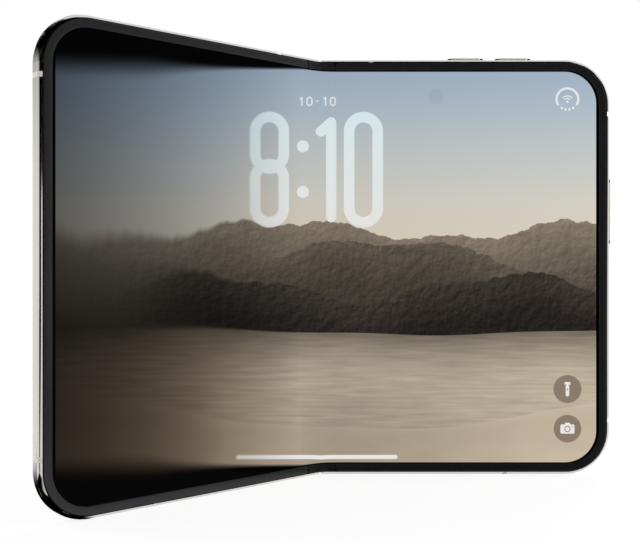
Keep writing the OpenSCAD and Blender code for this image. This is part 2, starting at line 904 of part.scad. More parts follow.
module outer_display() {
    color("#2a2f34") mirrored() difference() {
        rounded_plate(bracket_x1 + part_gap, half_w - outer_panel_inset, outer_panel_inset,
            body_h - outer_panel_inset, corner_r - outer_panel_inset,
            back_y - part_gap - outer_panel_t, back_y - part_gap);
        across(-outer_camera_x, inner_camera_z, small_camera_r + part_gap, 0, body_t);
    }
}

module outer_camera() {
    color("#24272b") on_left()
        across(outer_camera_x, inner_camera_z, small_camera_r, inside_y + part_gap, back_y - part_gap);
}

module left_battery() {
    color("#2b2d30") mirrored()
        box([battery_x0, inside_y + part_gap, left_battery_z0],
            [battery_x1, inside_y + part_gap + left_part_t, left_battery_z1]);
}

module lower_board() {
    color("#1f5a3a") mirrored()
        box([battery_x0, inside_y + part_gap, low_part_z0],
            [battery_x1 - corner_r / 2, inside_y + part_gap + left_part_t, battery_z0]);
}

module earpiece() {
    color("#2e3136") mirrored()
        box([earpiece_x0, inside_y + part_gap, left_battery_z1 + battery_gap],
            [earpiece_x0 + earpiece_w, inside_y + part_gap + left_part_t, body_h - low_part_z0]);
}

// ---- Spine ----
module spine_cover() {
    color("#c9c4bb") on_spine() difference() {
        spine_bar(spine_r, cover_y, spine_z0, body_h - spine_z0);
        spine_bar(spine_in_r, cover_y - extra, spine_z0 - extra, body_h - spine_z0 + extra);
        cover_windows();
    }
}

// Cuts in the cover's two edges, where the arms and the hinge flex leave the spine
module cover_windows() {
    for (bay = [[mid_z - guide_z, guide_len], [mid_z, train_bay], [mid_z + guide_z, guide_len],
                [hinge_flex_z0 + hinge_flex_w / 2, hinge_flex_w]]) {
        box([-half_w, 0, bay.x - bay.y / 2 - window_margin],
            [half_w, arm_low_y + window_margin, bay.x + bay.y / 2 + window_margin]);
    }
}

module spine_end_caps() {
    color("#c9c4bb") on_spine() {
        for (z0 = [spine_z0, body_h - spine_z0 - cap_t]) {
            spine_bar(spine_in_r - block_fit, cover_y, z0, z0 + cap_t);
        }
    }
}

// Guide block: holds the right half's rail in its lower slot and the left half's in its upper slot
module guide_block(z) {
    color("#a3a8ad") on_spine() difference() {
        spine_bar(spine_in_r - block_fit, block_y, z - guide_len / 2, z + guide_len / 2);
        rail_slot(1, z - rail_gap / 2 - rail_len / 2);
        rail_slot(-1, z + rail_gap / 2 + rail_len / 2);
        for (screw_z = spine_screw_zs) {
            across(0, screw_z, screw_r, 0, body_t);
            across(0, screw_z, screw_head_r + part_gap, 0, block_y + screw_head_t);
        }
    }
}

// Slot for one rail and its arm, about the right axis (side 1) or the left axis (side -1)
module rail_slot(side, z) {
    slot_z0 = z - rail_len / 2 - run_fit;
    slot_len = rail_len + 2 * run_fit;
    translate([side * axis_x, axis_y, slot_z0]) rotate_extrude()
        translate([rail_in_r - run_fit, 0]) square([rail_t + 2 * run_fit, slot_len]);
    arm_bay_x = arm_x(rail_out_r) - 2 * run_fit;
    box([side > 0 ? arm_bay_x : -half_w, 0, slot_z0],
        [side > 0 ? half_w : -arm_bay_x, arm_low_y + run_fit, slot_z0 + slot_len]);
}

module upper_guide_block() {
    guide_block(mid_z + guide_z);
}

module lower_guide_block() {
    guide_block(mid_z - guide_z);
}

// Screws that clamp the guide blocks to the spine cover
module spine_screws() {
    color("#b9bdc2") on_spine() {
        for (z = spine_screw_zs) {
            across(0, z, screw_r - block_fit, block_y + screw_head_t, axis_y + spine_in_r - block_fit);
            across(0, z, screw_head_r, block_y, block_y + screw_head_t);
        }
    }
}

// ---- Gear train ----
module gear_plate(z0) {
    color("#a3a8ad") on_spine() difference() {
        spine_bar(spine_in_r - block_fit, block_y, z0, z0 + gear_plate_t);
        for (side = [-1, 1]) {
            translate([side * idler_pitch_r, idler_y, z0 - extra])
                cylinder(r = shaft_r, h = gear_plate_t + 2 * extra);
        }
    }
}

module lower_gear_plate() {
    gear_plate(plate_z0);
}

module upper_gear_plate() {
    gear_plate(plate_z0 + train_bay - gear_plate_t);
}

module idler_shafts() {
    color("#d0d3d6") on_spine() {
        for (side = [-1, 1]) {
            translate([side * idler_pitch_r, idler_y, plate_z0]) cylinder(r = shaft_r, h = train_bay);
        }
    }
}

// Spring washers between the gear plates and the idlers
module friction_washers() {
    washer_gap = gear_gap / 2;
    color("#b58a4c") on_spine() {
        for (at = [[idler_pitch_r, plate_z0 + gear_plate_t + washer_gap],
                   [-idler_pitch_r, plate_z0 + train_bay - gear_plate_t - washer_gap - washer_t]]) {
            translate([at.x, idler_y, at.y]) difference() {
                cylinder(r = washer_r, h = washer_t);
                translate([0, 0, -extra]) cylinder(r = shaft_r + run_fit / 2, h = washer_t + 2 * extra);
            }
        }
    }
}

module right_idler_gear() {
    color("#c3a35a") on_spine() translate([idler_pitch_r, idler_y, 0]) rotate([0, 0, idler_deg])
        idler(180, sector_z0, mid_z + gear_w / 2);
}

module left_idler_gear() {
    color("#c3a35a") on_spine() translate([-idler_pitch_r, idler_y, 0]) rotate([0, 0, -idler_deg])
        idler(idler_pitch_deg / 2, mid_z - gear_w / 2, mid_z + gear_w * 1.5 + gear_gap);
}

// ---- Flexible pieces over the fold ----
module display_fold_zone() {
    color("#627380") on_spine()
        bent_layer(panel_y, plate_y, rim_w + fit, body_h - rim_w - fit);
}

module upper_bezel_strip() {
    color("#161616") on_spine()
        bent_layer(0, bezel_t, body_h - rim_w - bezel_w, body_h - rim_w - fit);
}

module lower_bezel_strip() {
    color("#161616") on_spine() bent_layer(0, bezel_t, rim_w + fit, rim_w + bezel_w);
}

module hinge_flex() {
    color("#8a5a2b") on_spine()
        bent_layer(hinge_flex_y, hinge_flex_y + flex_t, hinge_flex_z0, hinge_flex_z0 + hinge_flex_w);
}

right_frame();
right_mid_plate();
right_display();
right_bezel();
right_back_glass();
right_wing_plate();
right_hinge_bracket();
right_bracket_screws();
right_antenna_bands();
camera_plateau();
main_lens_ring();
wide_lens_ring();
main_lens_glass();
wide_lens_glass();
main_camera();
wide_camera();
flash();
inner_camera();
logic_board();
board_shield();
right_battery();
charging_port();
loudspeaker();
haptic_motor();
charging_coil();
button_flex();
volume_up_button();
volume_down_button();
side_button();
left_frame();
left_mid_plate();
left_display();
left_bezel();
left_wing_plate();
left_hinge_bracket();
left_bracket_screws();
left_antenna_bands();
outer_glass();
outer_display();
outer_camera();
left_battery();
lower_board();
earpiece();
spine_cover();
spine_end_caps();
upper_guide_block();
lower_guide_block();
spine_screws();
upper_gear_plate();
lower_gear_plate();
idler_shafts();
friction_washers();
right_idler_gear();
left_idler_gear();
hinge_flex();
display_fold_zone();
upper_bezel_strip();
lower_bezel_strip();
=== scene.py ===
"""Dresses a book-style folding phone that stands half open on its lower edges.

Lengths are in millimetres in the flat frame of a half, as in the part's source: x away from
the fold, y into the body from the display side, and z up. Pieces are placed in metres.
"""

import json
import logging
import math
from dataclasses import dataclass, field, replace
from enum import Enum, IntEnum
from typing import Any, Callable, Iterable, Optional, Sequence, Union

import bmesh
import bpy
from mathutils import Matrix, Vector


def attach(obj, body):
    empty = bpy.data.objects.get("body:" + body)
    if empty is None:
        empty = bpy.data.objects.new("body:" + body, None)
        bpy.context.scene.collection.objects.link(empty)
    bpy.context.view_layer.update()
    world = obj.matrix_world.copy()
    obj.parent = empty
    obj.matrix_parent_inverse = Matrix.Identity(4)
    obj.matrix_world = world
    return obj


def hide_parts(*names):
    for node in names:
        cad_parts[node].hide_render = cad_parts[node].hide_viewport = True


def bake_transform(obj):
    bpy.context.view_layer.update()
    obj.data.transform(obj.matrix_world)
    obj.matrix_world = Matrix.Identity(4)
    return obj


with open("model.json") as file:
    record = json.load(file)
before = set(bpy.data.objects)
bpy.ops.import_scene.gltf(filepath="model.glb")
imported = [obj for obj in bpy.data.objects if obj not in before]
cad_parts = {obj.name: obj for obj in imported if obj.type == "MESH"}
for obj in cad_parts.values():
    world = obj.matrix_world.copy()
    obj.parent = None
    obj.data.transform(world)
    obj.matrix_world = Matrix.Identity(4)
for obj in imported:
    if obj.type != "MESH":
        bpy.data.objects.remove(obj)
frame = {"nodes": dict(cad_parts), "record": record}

LOG = logging.getLogger("folding_phone")
MILLIMETRE = 0.001
MAP_SIDE = 200.0  # of the surface map, in millimetres
MERGE_GAP = 0.0005
SMOOTH_DEG = 35.0  # edges sharper than this stay sharp
CLOUD_SCALE = 90.0  # of the slow change in gloss, per metre
BRUSH_STRETCH = (1.0, 1.0, 0.02)
ETCH_CELL = 6.0  # in grain sizes
ETCH_WALL = (0.06, 0.1)
PILL_END = 0.499  # of the width, just under a half
PILL_SEGMENTS = 10
EDGE_SEGMENTS = 4
LEVEL_SLACK = 1e-4
# Span of the painted light and shade along the picture's foot.
LIGHT_SPAN = 140.0  # that the ramp of the foot's light covers, in millimetres

Colour = tuple[float, float, float]
Spot = tuple[float, float]
Spot3 = tuple[float, float, float]
Number = Union[float, "Wire"]
Port = Union[int, str]


class Place(Enum):
    """Which body's flat frame a mesh is drawn in."""

    RIGHT = "right_half"
    SPINE = "spine"
    LEFT = "left_half"


class Side(Enum):
    """Which side of the fold a mirrored shape is on."""

    RIGHT = 1.0
    LEFT = -1.0


@dataclass(frozen=True)
class PhoneSizes:
    """Main sizes of the phone, in millimetres and degrees, as in the part's source."""

    height: float = 120.6
    half_width: float = 84.2
    thickness: float = 5.0
    corner: float = 13.0
    rim: float = 0.9
    wall: float = 1.8
    fit: float = 0.04
    border_width: float = 2.4
    border_height: float = 0.3
    panel: float = 0.55
    fold_half: float = 4.4
    axis_x: float = 0.4
    axis_y: float = 0.3
    turn_deg: float = 20.0
    seam_deg: float = 0.15
    origin_x: float = 8.94337554
    origin_y: float = -22.95744993

    @property
    def mid_z(self) -> float:
        """Half of the height."""
        return self.height / 2

    @property
    def core_x(self) -> float:
        """Distance of the outer corners' centres from the fold."""
        return self.half_width - self.corner

    @property
    def bend_radius(self) -> float:
        """Radius at which the front plane bends over the fold."""
        return self.fold_end().x / math.sin(math.radians(self.turn_deg))

    @property
    def bend_y(self) -> float:
        """Level of the bend's centre in the spine's frame, in front of the display."""
        return self.fold_end().y - self.bend_radius * math.cos(math.radians(self.turn_deg))

    def fold_end(self) -> Vector:
        """Works out the right end of the flexible zone's front plane.

        Returns:
            The end, in the spine's frame.
        """
        axis = Vector((self.axis_x, self.axis_y, 0))
        arm = Vector((self.fold_half, 0, 0)) - axis
        arm.rotate(Matrix.Rotation(-math.radians(self.turn_deg), 3, "Z"))
        return axis + arm

    def placement(self, place: Place) -> Matrix:
        """Says where a body's flat frame lies in the row frame.

        Args:
            place: The body's flat frame.

        Returns:
            A matrix from millimetres in that frame to metres in the row frame.
        """
        turn = Matrix.Rotation(math.radians(self.turn_deg), 4, "Z")
        matrix = Matrix.Identity(4)
        for side, places in ((-1, (Place.LEFT,)), (1, (Place.LEFT, Place.SPINE))):
            if place in places:
                axis = Matrix.Translation((side * self.axis_x, self.axis_y, 0))
                matrix = axis @ turn @ axis.inverted() @ matrix
        shift = Matrix.Translation((-self.origin_x, -self.origin_y, 0))
        return Matrix.Scale(MILLIMETRE, 4) @ shift @ matrix


SIZES = PhoneSizes()


# ---- Shader graphs ----
class Wire:
    """A value on a node's output that takes part in arithmetic."""

    def __init__(self, graph: "Graph", socket: bpy.types.NodeSocket) -> None:
        """Keeps the graph and the output socket."""
        self.graph = graph
        self.socket = socket

    def __add__(self, other: Number) -> "Wire":
        """Adds a value."""
        return self.graph.math("ADD", self, other)

    __radd__ = __add__

    def __sub__(self, other: Number) -> "Wire":
        """Takes a value away."""
        return self.graph.math("SUBTRACT", self, other)

    def __rsub__(self, other: Number) -> "Wire":
        """Takes this away from a value."""
        return self.graph.math("SUBTRACT", other, self)

    def __mul__(self, other: Number) -> "Wire":
        """Multiplies by a value."""
        return self.graph.math("MULTIPLY", self, other)

    def __neg__(self) -> "Wire":
        """Turns the sign."""
        return self * -1.0

    def __rtruediv__(self, other: Number) -> "Wire":
        """Divides a value by this."""
        return self.graph.math("DIVIDE", other, self)


class Graph:
    """A node tree that is written as formulas."""

    def __init__(self, tree: bpy.types.NodeTree) -> None:
        """Keeps the tree that nodes are added to."""
        self.tree = tree

    def node(self, kind: str, **settings: Any) -> bpy.types.Node:
        """Adds a node.

        Args:
            kind: The node's type.
            **settings: Properties to set on it.

        Returns:
            The new node.
        """
        made = self.tree.nodes.new(kind)
        for name, value in settings.items():
            setattr(made, name, value)
        return made

    def feed(self, socket: bpy.types.NodeSocket, value: Any) -> None:
        """Links a wire to an input socket, or sets a constant on it.

        Args:
            socket: The input socket.
            value: The wire or the constant.
        """
        if isinstance(value, Wire):
            self.tree.links.new(value.socket, socket)
        else:
            socket.default_value = value

    def result(self, kind: str, inputs: dict[Port, Any], output: Port = 0,
               **settings: Any) -> Wire:
        """Adds a node and gives one of its outputs.

        Args:
            kind: The node's type.
            inputs: Wires and constants for its inputs, by number or name.
            output: Number or name of the output.
            **settings: Properties to set on the node.

        Returns:
            The output.
        """
        made = self.node(kind, **settings)
        for port, value in inputs.items():
            self.feed(made.inputs[port], value)
        return Wire(self, made.outputs[output])

    def math(self, operation: str, *values: Number, clamp: bool = False) -> Wire:
        """Result of a Math node's operation on its inputs in order."""
        return self.result("ShaderNodeMath", dict(enumerate(values)), operation=operation,
                           use_clamp=clamp)

    def vector(self, operation: str, *values: Any) -> Wire:
        """Adds a Vector Math node.

        Args:
            operation: The node's operation.
            *values: Its inputs in order, as wires or triples.

        Returns:
            The vector, or the number that the operation gives.
        """
        ports = (0, "Scale") if operation == "SCALE" else range(len(values))
        gives_number = operation in ("DOT_PRODUCT", "LENGTH", "DISTANCE")
        return self.result("ShaderNodeVectorMath", dict(zip(ports, values)),
                           "Value" if gives_number else "Vector", operation=operation)

    def point(self, x: Number, y: Number) -> Wire:
        """Joins two numbers into a vector on the level 0."""
        return self.result("ShaderNodeCombineXYZ", {0: x, 1: y, 2: 0.0})

    def parts(self, vector: Wire) -> list[Wire]:
        """Splits a vector into three numbers."""
        first = self.result("ShaderNodeSeparateXYZ", {0: vector})
        return [Wire(self, socket) for socket in first.socket.node.outputs]

    def ease(self, value: Number, start: Number, end: Number) -> Wire:
        """Smooth step from 0 at start to 1 at end."""
        inputs = {"Value": value, "From Min": start, "From Max": end}
        return self.result("ShaderNodeMapRange", inputs, interpolation_type="SMOOTHSTEP")

    def span(self, value: Number, low: float, high: float) -> Wire:
        """Stretches a value from 0 and 1 to low and high, unclamped."""
        inputs = {"Value": value, "To Min": low, "To Max": high}
        return self.result("ShaderNodeMapRange", inputs, clamp=False)

    def mix(self, share: Number, first: Any, second: Any) -> Wire:
        """Mixes two colours.

        Args:
            share: How much of the second is taken.
            first: A wire or a colour.
            second: A wire or a colour.

        Returns:
            The mixed colour.
        """
        made = self.node("ShaderNodeMix", data_type="RGBA")
        self.feed(made.inputs[0], share)
        ports = [socket for socket in made.inputs if socket.type == "RGBA"]
        for port, value in zip(ports, (first, second)):
            self.feed(port, value if isinstance(value, Wire) else (*value, 1.0))
        return Wire(self, next(s for s in made.outputs if s.type == "RGBA"))

    def ramp(self, value: Wire, stops: Sequence[tuple[float, Colour]]) -> Wire:
        """Runs a value through a colour ramp.

        Args:
            value: The value, from 0 to 1.
            stops: The place and the colour of each stop, in order.

        Returns:
            The colour.
        """
        made = self.node("ShaderNodeValToRGB")
        while len(made.color_ramp.elements) < len(stops):
            made.color_ramp.elements.new(1.0)
        for element, (place, colour) in zip(made.color_ramp.elements, stops):
            element.position = place
            element.color = (*colour, 1.0)
        self.feed(made.inputs[0], value)
        return Wire(self, made.outputs[0])

    def noise(self, vector: Wire, scale: float, detail: float) -> Wire:
        """Noise from 0 to 1 at a scale."""
        inputs = {"Vector": vector, "Scale": scale, "Detail": detail}
        return self.result("ShaderNodeTexNoise", inputs, "Fac")

    def cell_walls(self, vector: Wire, scale: float) -> Wire:
        """Distance to the walls of a cell pattern at a scale."""
        inputs = {"Vector": vector, "Scale": scale}
        return self.result("ShaderNodeTexVoronoi", inputs, "Distance", feature="DISTANCE_TO_EDGE")

    def bump(self, height: Wire, strength: float, depth: float) -> Wire:
        """Normal of a height from 0 to 1, with a depth in metres."""
        inputs = {"Height": height, "Strength": strength, "Distance": depth}
        return self.result("ShaderNodeBump", inputs)

    def on_object(self) -> Wire:
        """The piece's own coordinates, in metres."""
        return self.result("ShaderNodeTexCoord", {}, "Object")

    def on_map(self) -> Wire:
        """Reads the piece's own map.

        Returns:
            The place along its surface, in metres.
        """
        spot = self.result("ShaderNodeUVMap", {}, uv_map="surface")
        centred = self.vector("SUBTRACT", spot, (0.5, 0.5, 0.0))
        return self.vector("SCALE", centred, MAP_SIDE * MILLIMETRE)

    def on_flat(self, place: Place) -> list[Wire]:
        """Works out a point's place in a half's flat frame.

        Args:
            place: The half.

        Returns:
            The distance from the fold and the height, in millimetres.
        """
        to_flat = SIZES.placement(place).inverted()
        spot = self.on_object()
        return [self.vector("DOT_PRODUCT", spot, to_flat[row].to_3d()) + to_flat[row][3]
                for row in (0, 2)]

    def main_shader(self) -> bpy.types.Node:
        """The shader that a new material has."""
        return self.tree.nodes["Principled BSDF"]

    def shade(self, values: dict[str, Any]) -> None:
        """Feeds the main shader's inputs by name."""
        for name, value in values.items():
            self.feed(self.main_shader().inputs[name], value)

    def show_mix(self, share: Wire, first: bpy.types.Node, second: bpy.types.Node) -> None:
        """Shows two mixed shaders as the material's surface.

        Args:
            share: How much of the second is taken.
            first: A shader node.
            second: A shader node.
        """
        shaders = [Wire(self, shader.outputs[0]) for shader in (first, second)]
        mixed = self.result("ShaderNodeMixShader", {0: share, 1: shaders[0], 2: shaders[1]})
        self.feed(self.tree.nodes["Material Output"].inputs["Surface"], mixed)


def new_material(name: str) -> tuple[bpy.types.Material, Graph]:
    """Makes a material.

    Args:
        name: Its name.

    Returns:
        The material and its graph.
    """
    material = bpy.data.materials.new(name)
    material.use_nodes = True
    return material, Graph(material.node_tree)


# ---- Finishes ----
class Grain(Enum):
    """Pattern that a finish carries."""

    SPECKLED = "speckled"
    BRUSHED = "brushed"
    ETCHED = "etched"
    WOVEN = "woven"
    WOUND = "wound"
    STRIPED = "striped"


class Follow(Enum):
    """What a finish's pattern keeps to."""

    BODY = "body"
    SURFACE = "surface"


@dataclass(frozen=True)
class Finish:
    """A surface finish with its colour spread, gloss spread and grain."""

    name: str
    colour: Colour
    second: Colour
    rough: Spot = (0.3, 0.4)
    metallic: float = 0.0
    specular: float = 0.5
    grain: Grain = Grain.SPECKLED
    size: float = 0.3
    bump: float = 0.1
    depth: float = 0.01
    coat: float = 0.0
    centre: Spot3 = (0.0, 0.0, 0.0)
    coat_rough: float = 0.06
    follow: Follow = Follow.BODY

    def pattern(self, graph: Graph, spot: Wire) -> Wire:
        """Draws the grain.

        Args:
            graph: The material's graph.
            spot: The coordinates in metres.

        Returns:
            The pattern, from 0 to 1.
        """
        scale = 1.0 / (self.size * MILLIMETRE)
        turns = scale * math.tau
        if self.grain is Grain.SPECKLED:
            return graph.noise(spot, scale, 4.0)
        if self.grain is Grain.BRUSHED:
            stretched = graph.vector("MULTIPLY", spot, BRUSH_STRETCH)
            return graph.noise(stretched, scale, 3.0)
        if self.grain is Grain.ETCHED:
            return graph.ease(graph.cell_walls(spot, scale / ETCH_CELL), *ETCH_WALL)
        if self.grain is Grain.WOVEN:
            x, y, z = graph.parts(graph.vector("SCALE", spot, turns))
            waves = graph.math("SINE", x + y) * graph.math("SINE", z)
        elif self.grain is Grain.WOUND:
            gap = graph.vector("DISTANCE", spot, self.centre)
            waves = graph.math("SINE", gap * turns)
        else:
            height = graph.parts(spot)[1 if self.follow is Follow.SURFACE else 2]
            waves = graph.math("SINE", height * turns)
        return graph.span(waves, 0.5, 1.0)

    def build(self) -> bpy.types.Material:
        """Makes the material.

        Returns:
            The material with this finish.
        """
        material, graph = new_material(self.name)
        spot = graph.on_map() if self.follow is Follow.SURFACE else graph.on_object()
        grain = self.pattern(graph, spot)
        cloud = graph.noise(spot, CLOUD_SCALE, 3.0)
        graph.shade({
            "Base Color": graph.mix(grain, self.colour, self.second),
            "Roughness": graph.span(grain * 0.5 + cloud * 0.5, *self.rough),
            "Metallic": self.metallic,
            "Specular IOR Level": self.specular,
            "Coat Weight": self.coat,
            "Coat Roughness": self.coat_rough,
            "Normal": graph.bump(grain, self.bump, self.depth * MILLIMETRE)})
        return material


FINISHES: dict[str, Finish] = {finish.name: finish for finish in (
    Finish("polished_frame", (0.68, 0.66, 0.63), (0.63, 0.61, 0.58), (0.06, 0.12), 1.0,
           size=0.4, bump=0.05, depth=0.002),
    Finish("button_metal", (0.76, 0.74, 0.70), (0.71, 0.69, 0.65), (0.3, 0.4), 0.3,
           size=0.3, bump=0.05, depth=0.002),
    Finish("spine_metal", (0.58, 0.56, 0.53), (0.52, 0.50, 0.47), (0.26, 0.36), 1.0,
           grain=Grain.BRUSHED, size=0.08, bump=0.12, depth=0.004),
    Finish("antenna_plastic", (0.62, 0.61, 0.58), (0.57, 0.56, 0.53), (0.38, 0.5),
           size=0.1, bump=0.1),
    Finish("black_bezel", (0.0105, 0.0105, 0.011), (0.0085, 0.0085, 0.009), (0.3, 0.4),
           specular=0.36, size=0.12, bump=0.12, depth=0.004),
    Finish("back_glass", (0.52, 0.49, 0.445), (0.47, 0.44, 0.395), (0.3, 0.38),
           size=0.08, bump=0.12, depth=0.004, coat=0.15),
    Finish("outer_glass", (0.006, 0.007, 0.008), (0.004, 0.005, 0.006), (0.04, 0.08),
           specular=0.25, size=0.5, bump=0.02, depth=0.001),
    Finish("plateau_glass", (0.395, 0.37, 0.33), (0.365, 0.34, 0.305), (0.1, 0.16),
           size=0.1, bump=0.03, depth=0.001, coat=0.25),
    Finish("lens_ring_metal", (0.74, 0.72, 0.68), (0.69, 0.67, 0.63), (0.12, 0.2), 1.0,
           size=0.2, bump=0.06, depth=0.002),
    Finish("camera_housing", (0.018, 0.018, 0.02), (0.012, 0.012, 0.014), (0.5, 0.6),
           size=0.15, bump=0.2),
    Finish("plate_metal", (0.55, 0.57, 0.60), (0.49, 0.51, 0.54), (0.3, 0.42), 1.0,
           grain=Grain.BRUSHED, size=0.15, bump=0.15),
    Finish("hinge_steel", (0.50, 0.52, 0.54), (0.42, 0.44, 0.46), (0.28, 0.4), 1.0,
           grain=Grain.BRUSHED, size=0.1, bump=0.15),
    Finish("screw_steel", (0.66, 0.68, 0.70), (0.58, 0.60, 0.62), (0.2, 0.32), 1.0,
           size=0.15, bump=0.15),
    Finish("circuit_board", (0.10, 0.32, 0.16), (0.03, 0.15, 0.07), (0.3, 0.4),
           grain=Grain.ETCHED, size=0.4, bump=0.3, depth=0.03, coat=0.3),
    Finish("shield_can", (0.68, 0.69, 0.71), (0.62, 0.63, 0.65), (0.28, 0.36), 1.0,
           size=0.25, bump=0.1),
    Finish("battery_wrap", (0.05, 0.05, 0.055), (0.035, 0.035, 0.04), (0.35, 0.45),
           grain=Grain.WOVEN, size=0.6, bump=0.2),
    Finish("inner_plastic", (0.07, 0.075, 0.08), (0.05, 0.055, 0.06), (0.5, 0.6),
           size=0.2, bump=0.2),
    Finish("flex_film", (0.52, 0.28, 0.10), (0.36, 0.17, 0.06), (0.25, 0.35),
           grain=Grain.STRIPED, size=0.8, bump=0.2, depth=0.02),
    Finish("gear_brass", (0.72, 0.58, 0.30), (0.62, 0.49, 0.24), (0.22, 0.34), 1.0,
           size=0.15, bump=0.15),
    Finish("copper_coil", (0.72, 0.40, 0.22), (0.38, 0.18, 0.09), (0.25, 0.35), 1.0,
           grain=Grain.WOUND, size=0.5, bump=0.5, depth=0.05),
)}
COIL_CENTRE = (45.825, 4.15, 43.9)


class Dresser:
    """Keeps each finish's material and gives it to pieces and carried-over nodes."""

    def __init__(self, finishes: dict[str, Finish]) -> None:
        """Keeps the finishes by slot name."""
        self.finishes = finishes
        self.made: dict[str, bpy.types.Material] = {}

    def material(self, name: str) -> bpy.types.Material:
        """Gives a finish's material, which is made once.

        Args:
            name: The finish's name.

        Returns:
            The material.
        """
        if name not in self.made:
            self.made[name] = self.finishes[name].build()
        return self.made[name]

    def add(self, name: str, material: bpy.types.Material) -> None:
        """Keeps a material that was made elsewhere."""
        self.made[name] = material

    def dress(self, piece: bpy.types.Object, name: str) -> None:
        """Gives a piece one material in all its slots."""
        piece.data.materials.clear()
        piece.data.materials.append(self.material(name))


# ---- Meshes ----
def put(name: str, data: Any) -> bpy.types.Object:
    """Adds an object to the scene.

    Args:
        name: The object's name.
        data: Its mesh, camera or lamp.

    Returns:
        The object.
    """
    made = bpy.data.objects.new(name, data)
    bpy.context.scene.collection.objects.link(made)
    return made


def cast(bm: bmesh.types.BMesh, name: str) -> bpy.types.Mesh:
    """Makes mesh data from a bmesh, which it frees.

    Args:
        bm: The bmesh.
        name: The data's name.

    Returns:
        The mesh data.
    """
    data = bpy.data.meshes.new(name)
    bm.to_mesh(data)
    bm.free()
    return data


def bevel(bm: bmesh.types.BMesh, geometry: list[Any], radius: float, segments: int,
          affect: str = "EDGES") -> list[bmesh.types.BMFace]:
    """Rounds edges or corners and gives the new faces."""
    return bmesh.ops.bevel(bm, geom=geometry, offset=radius, segments=segments,
                           affect=affect, profile=0.5, material=-1)["faces"]


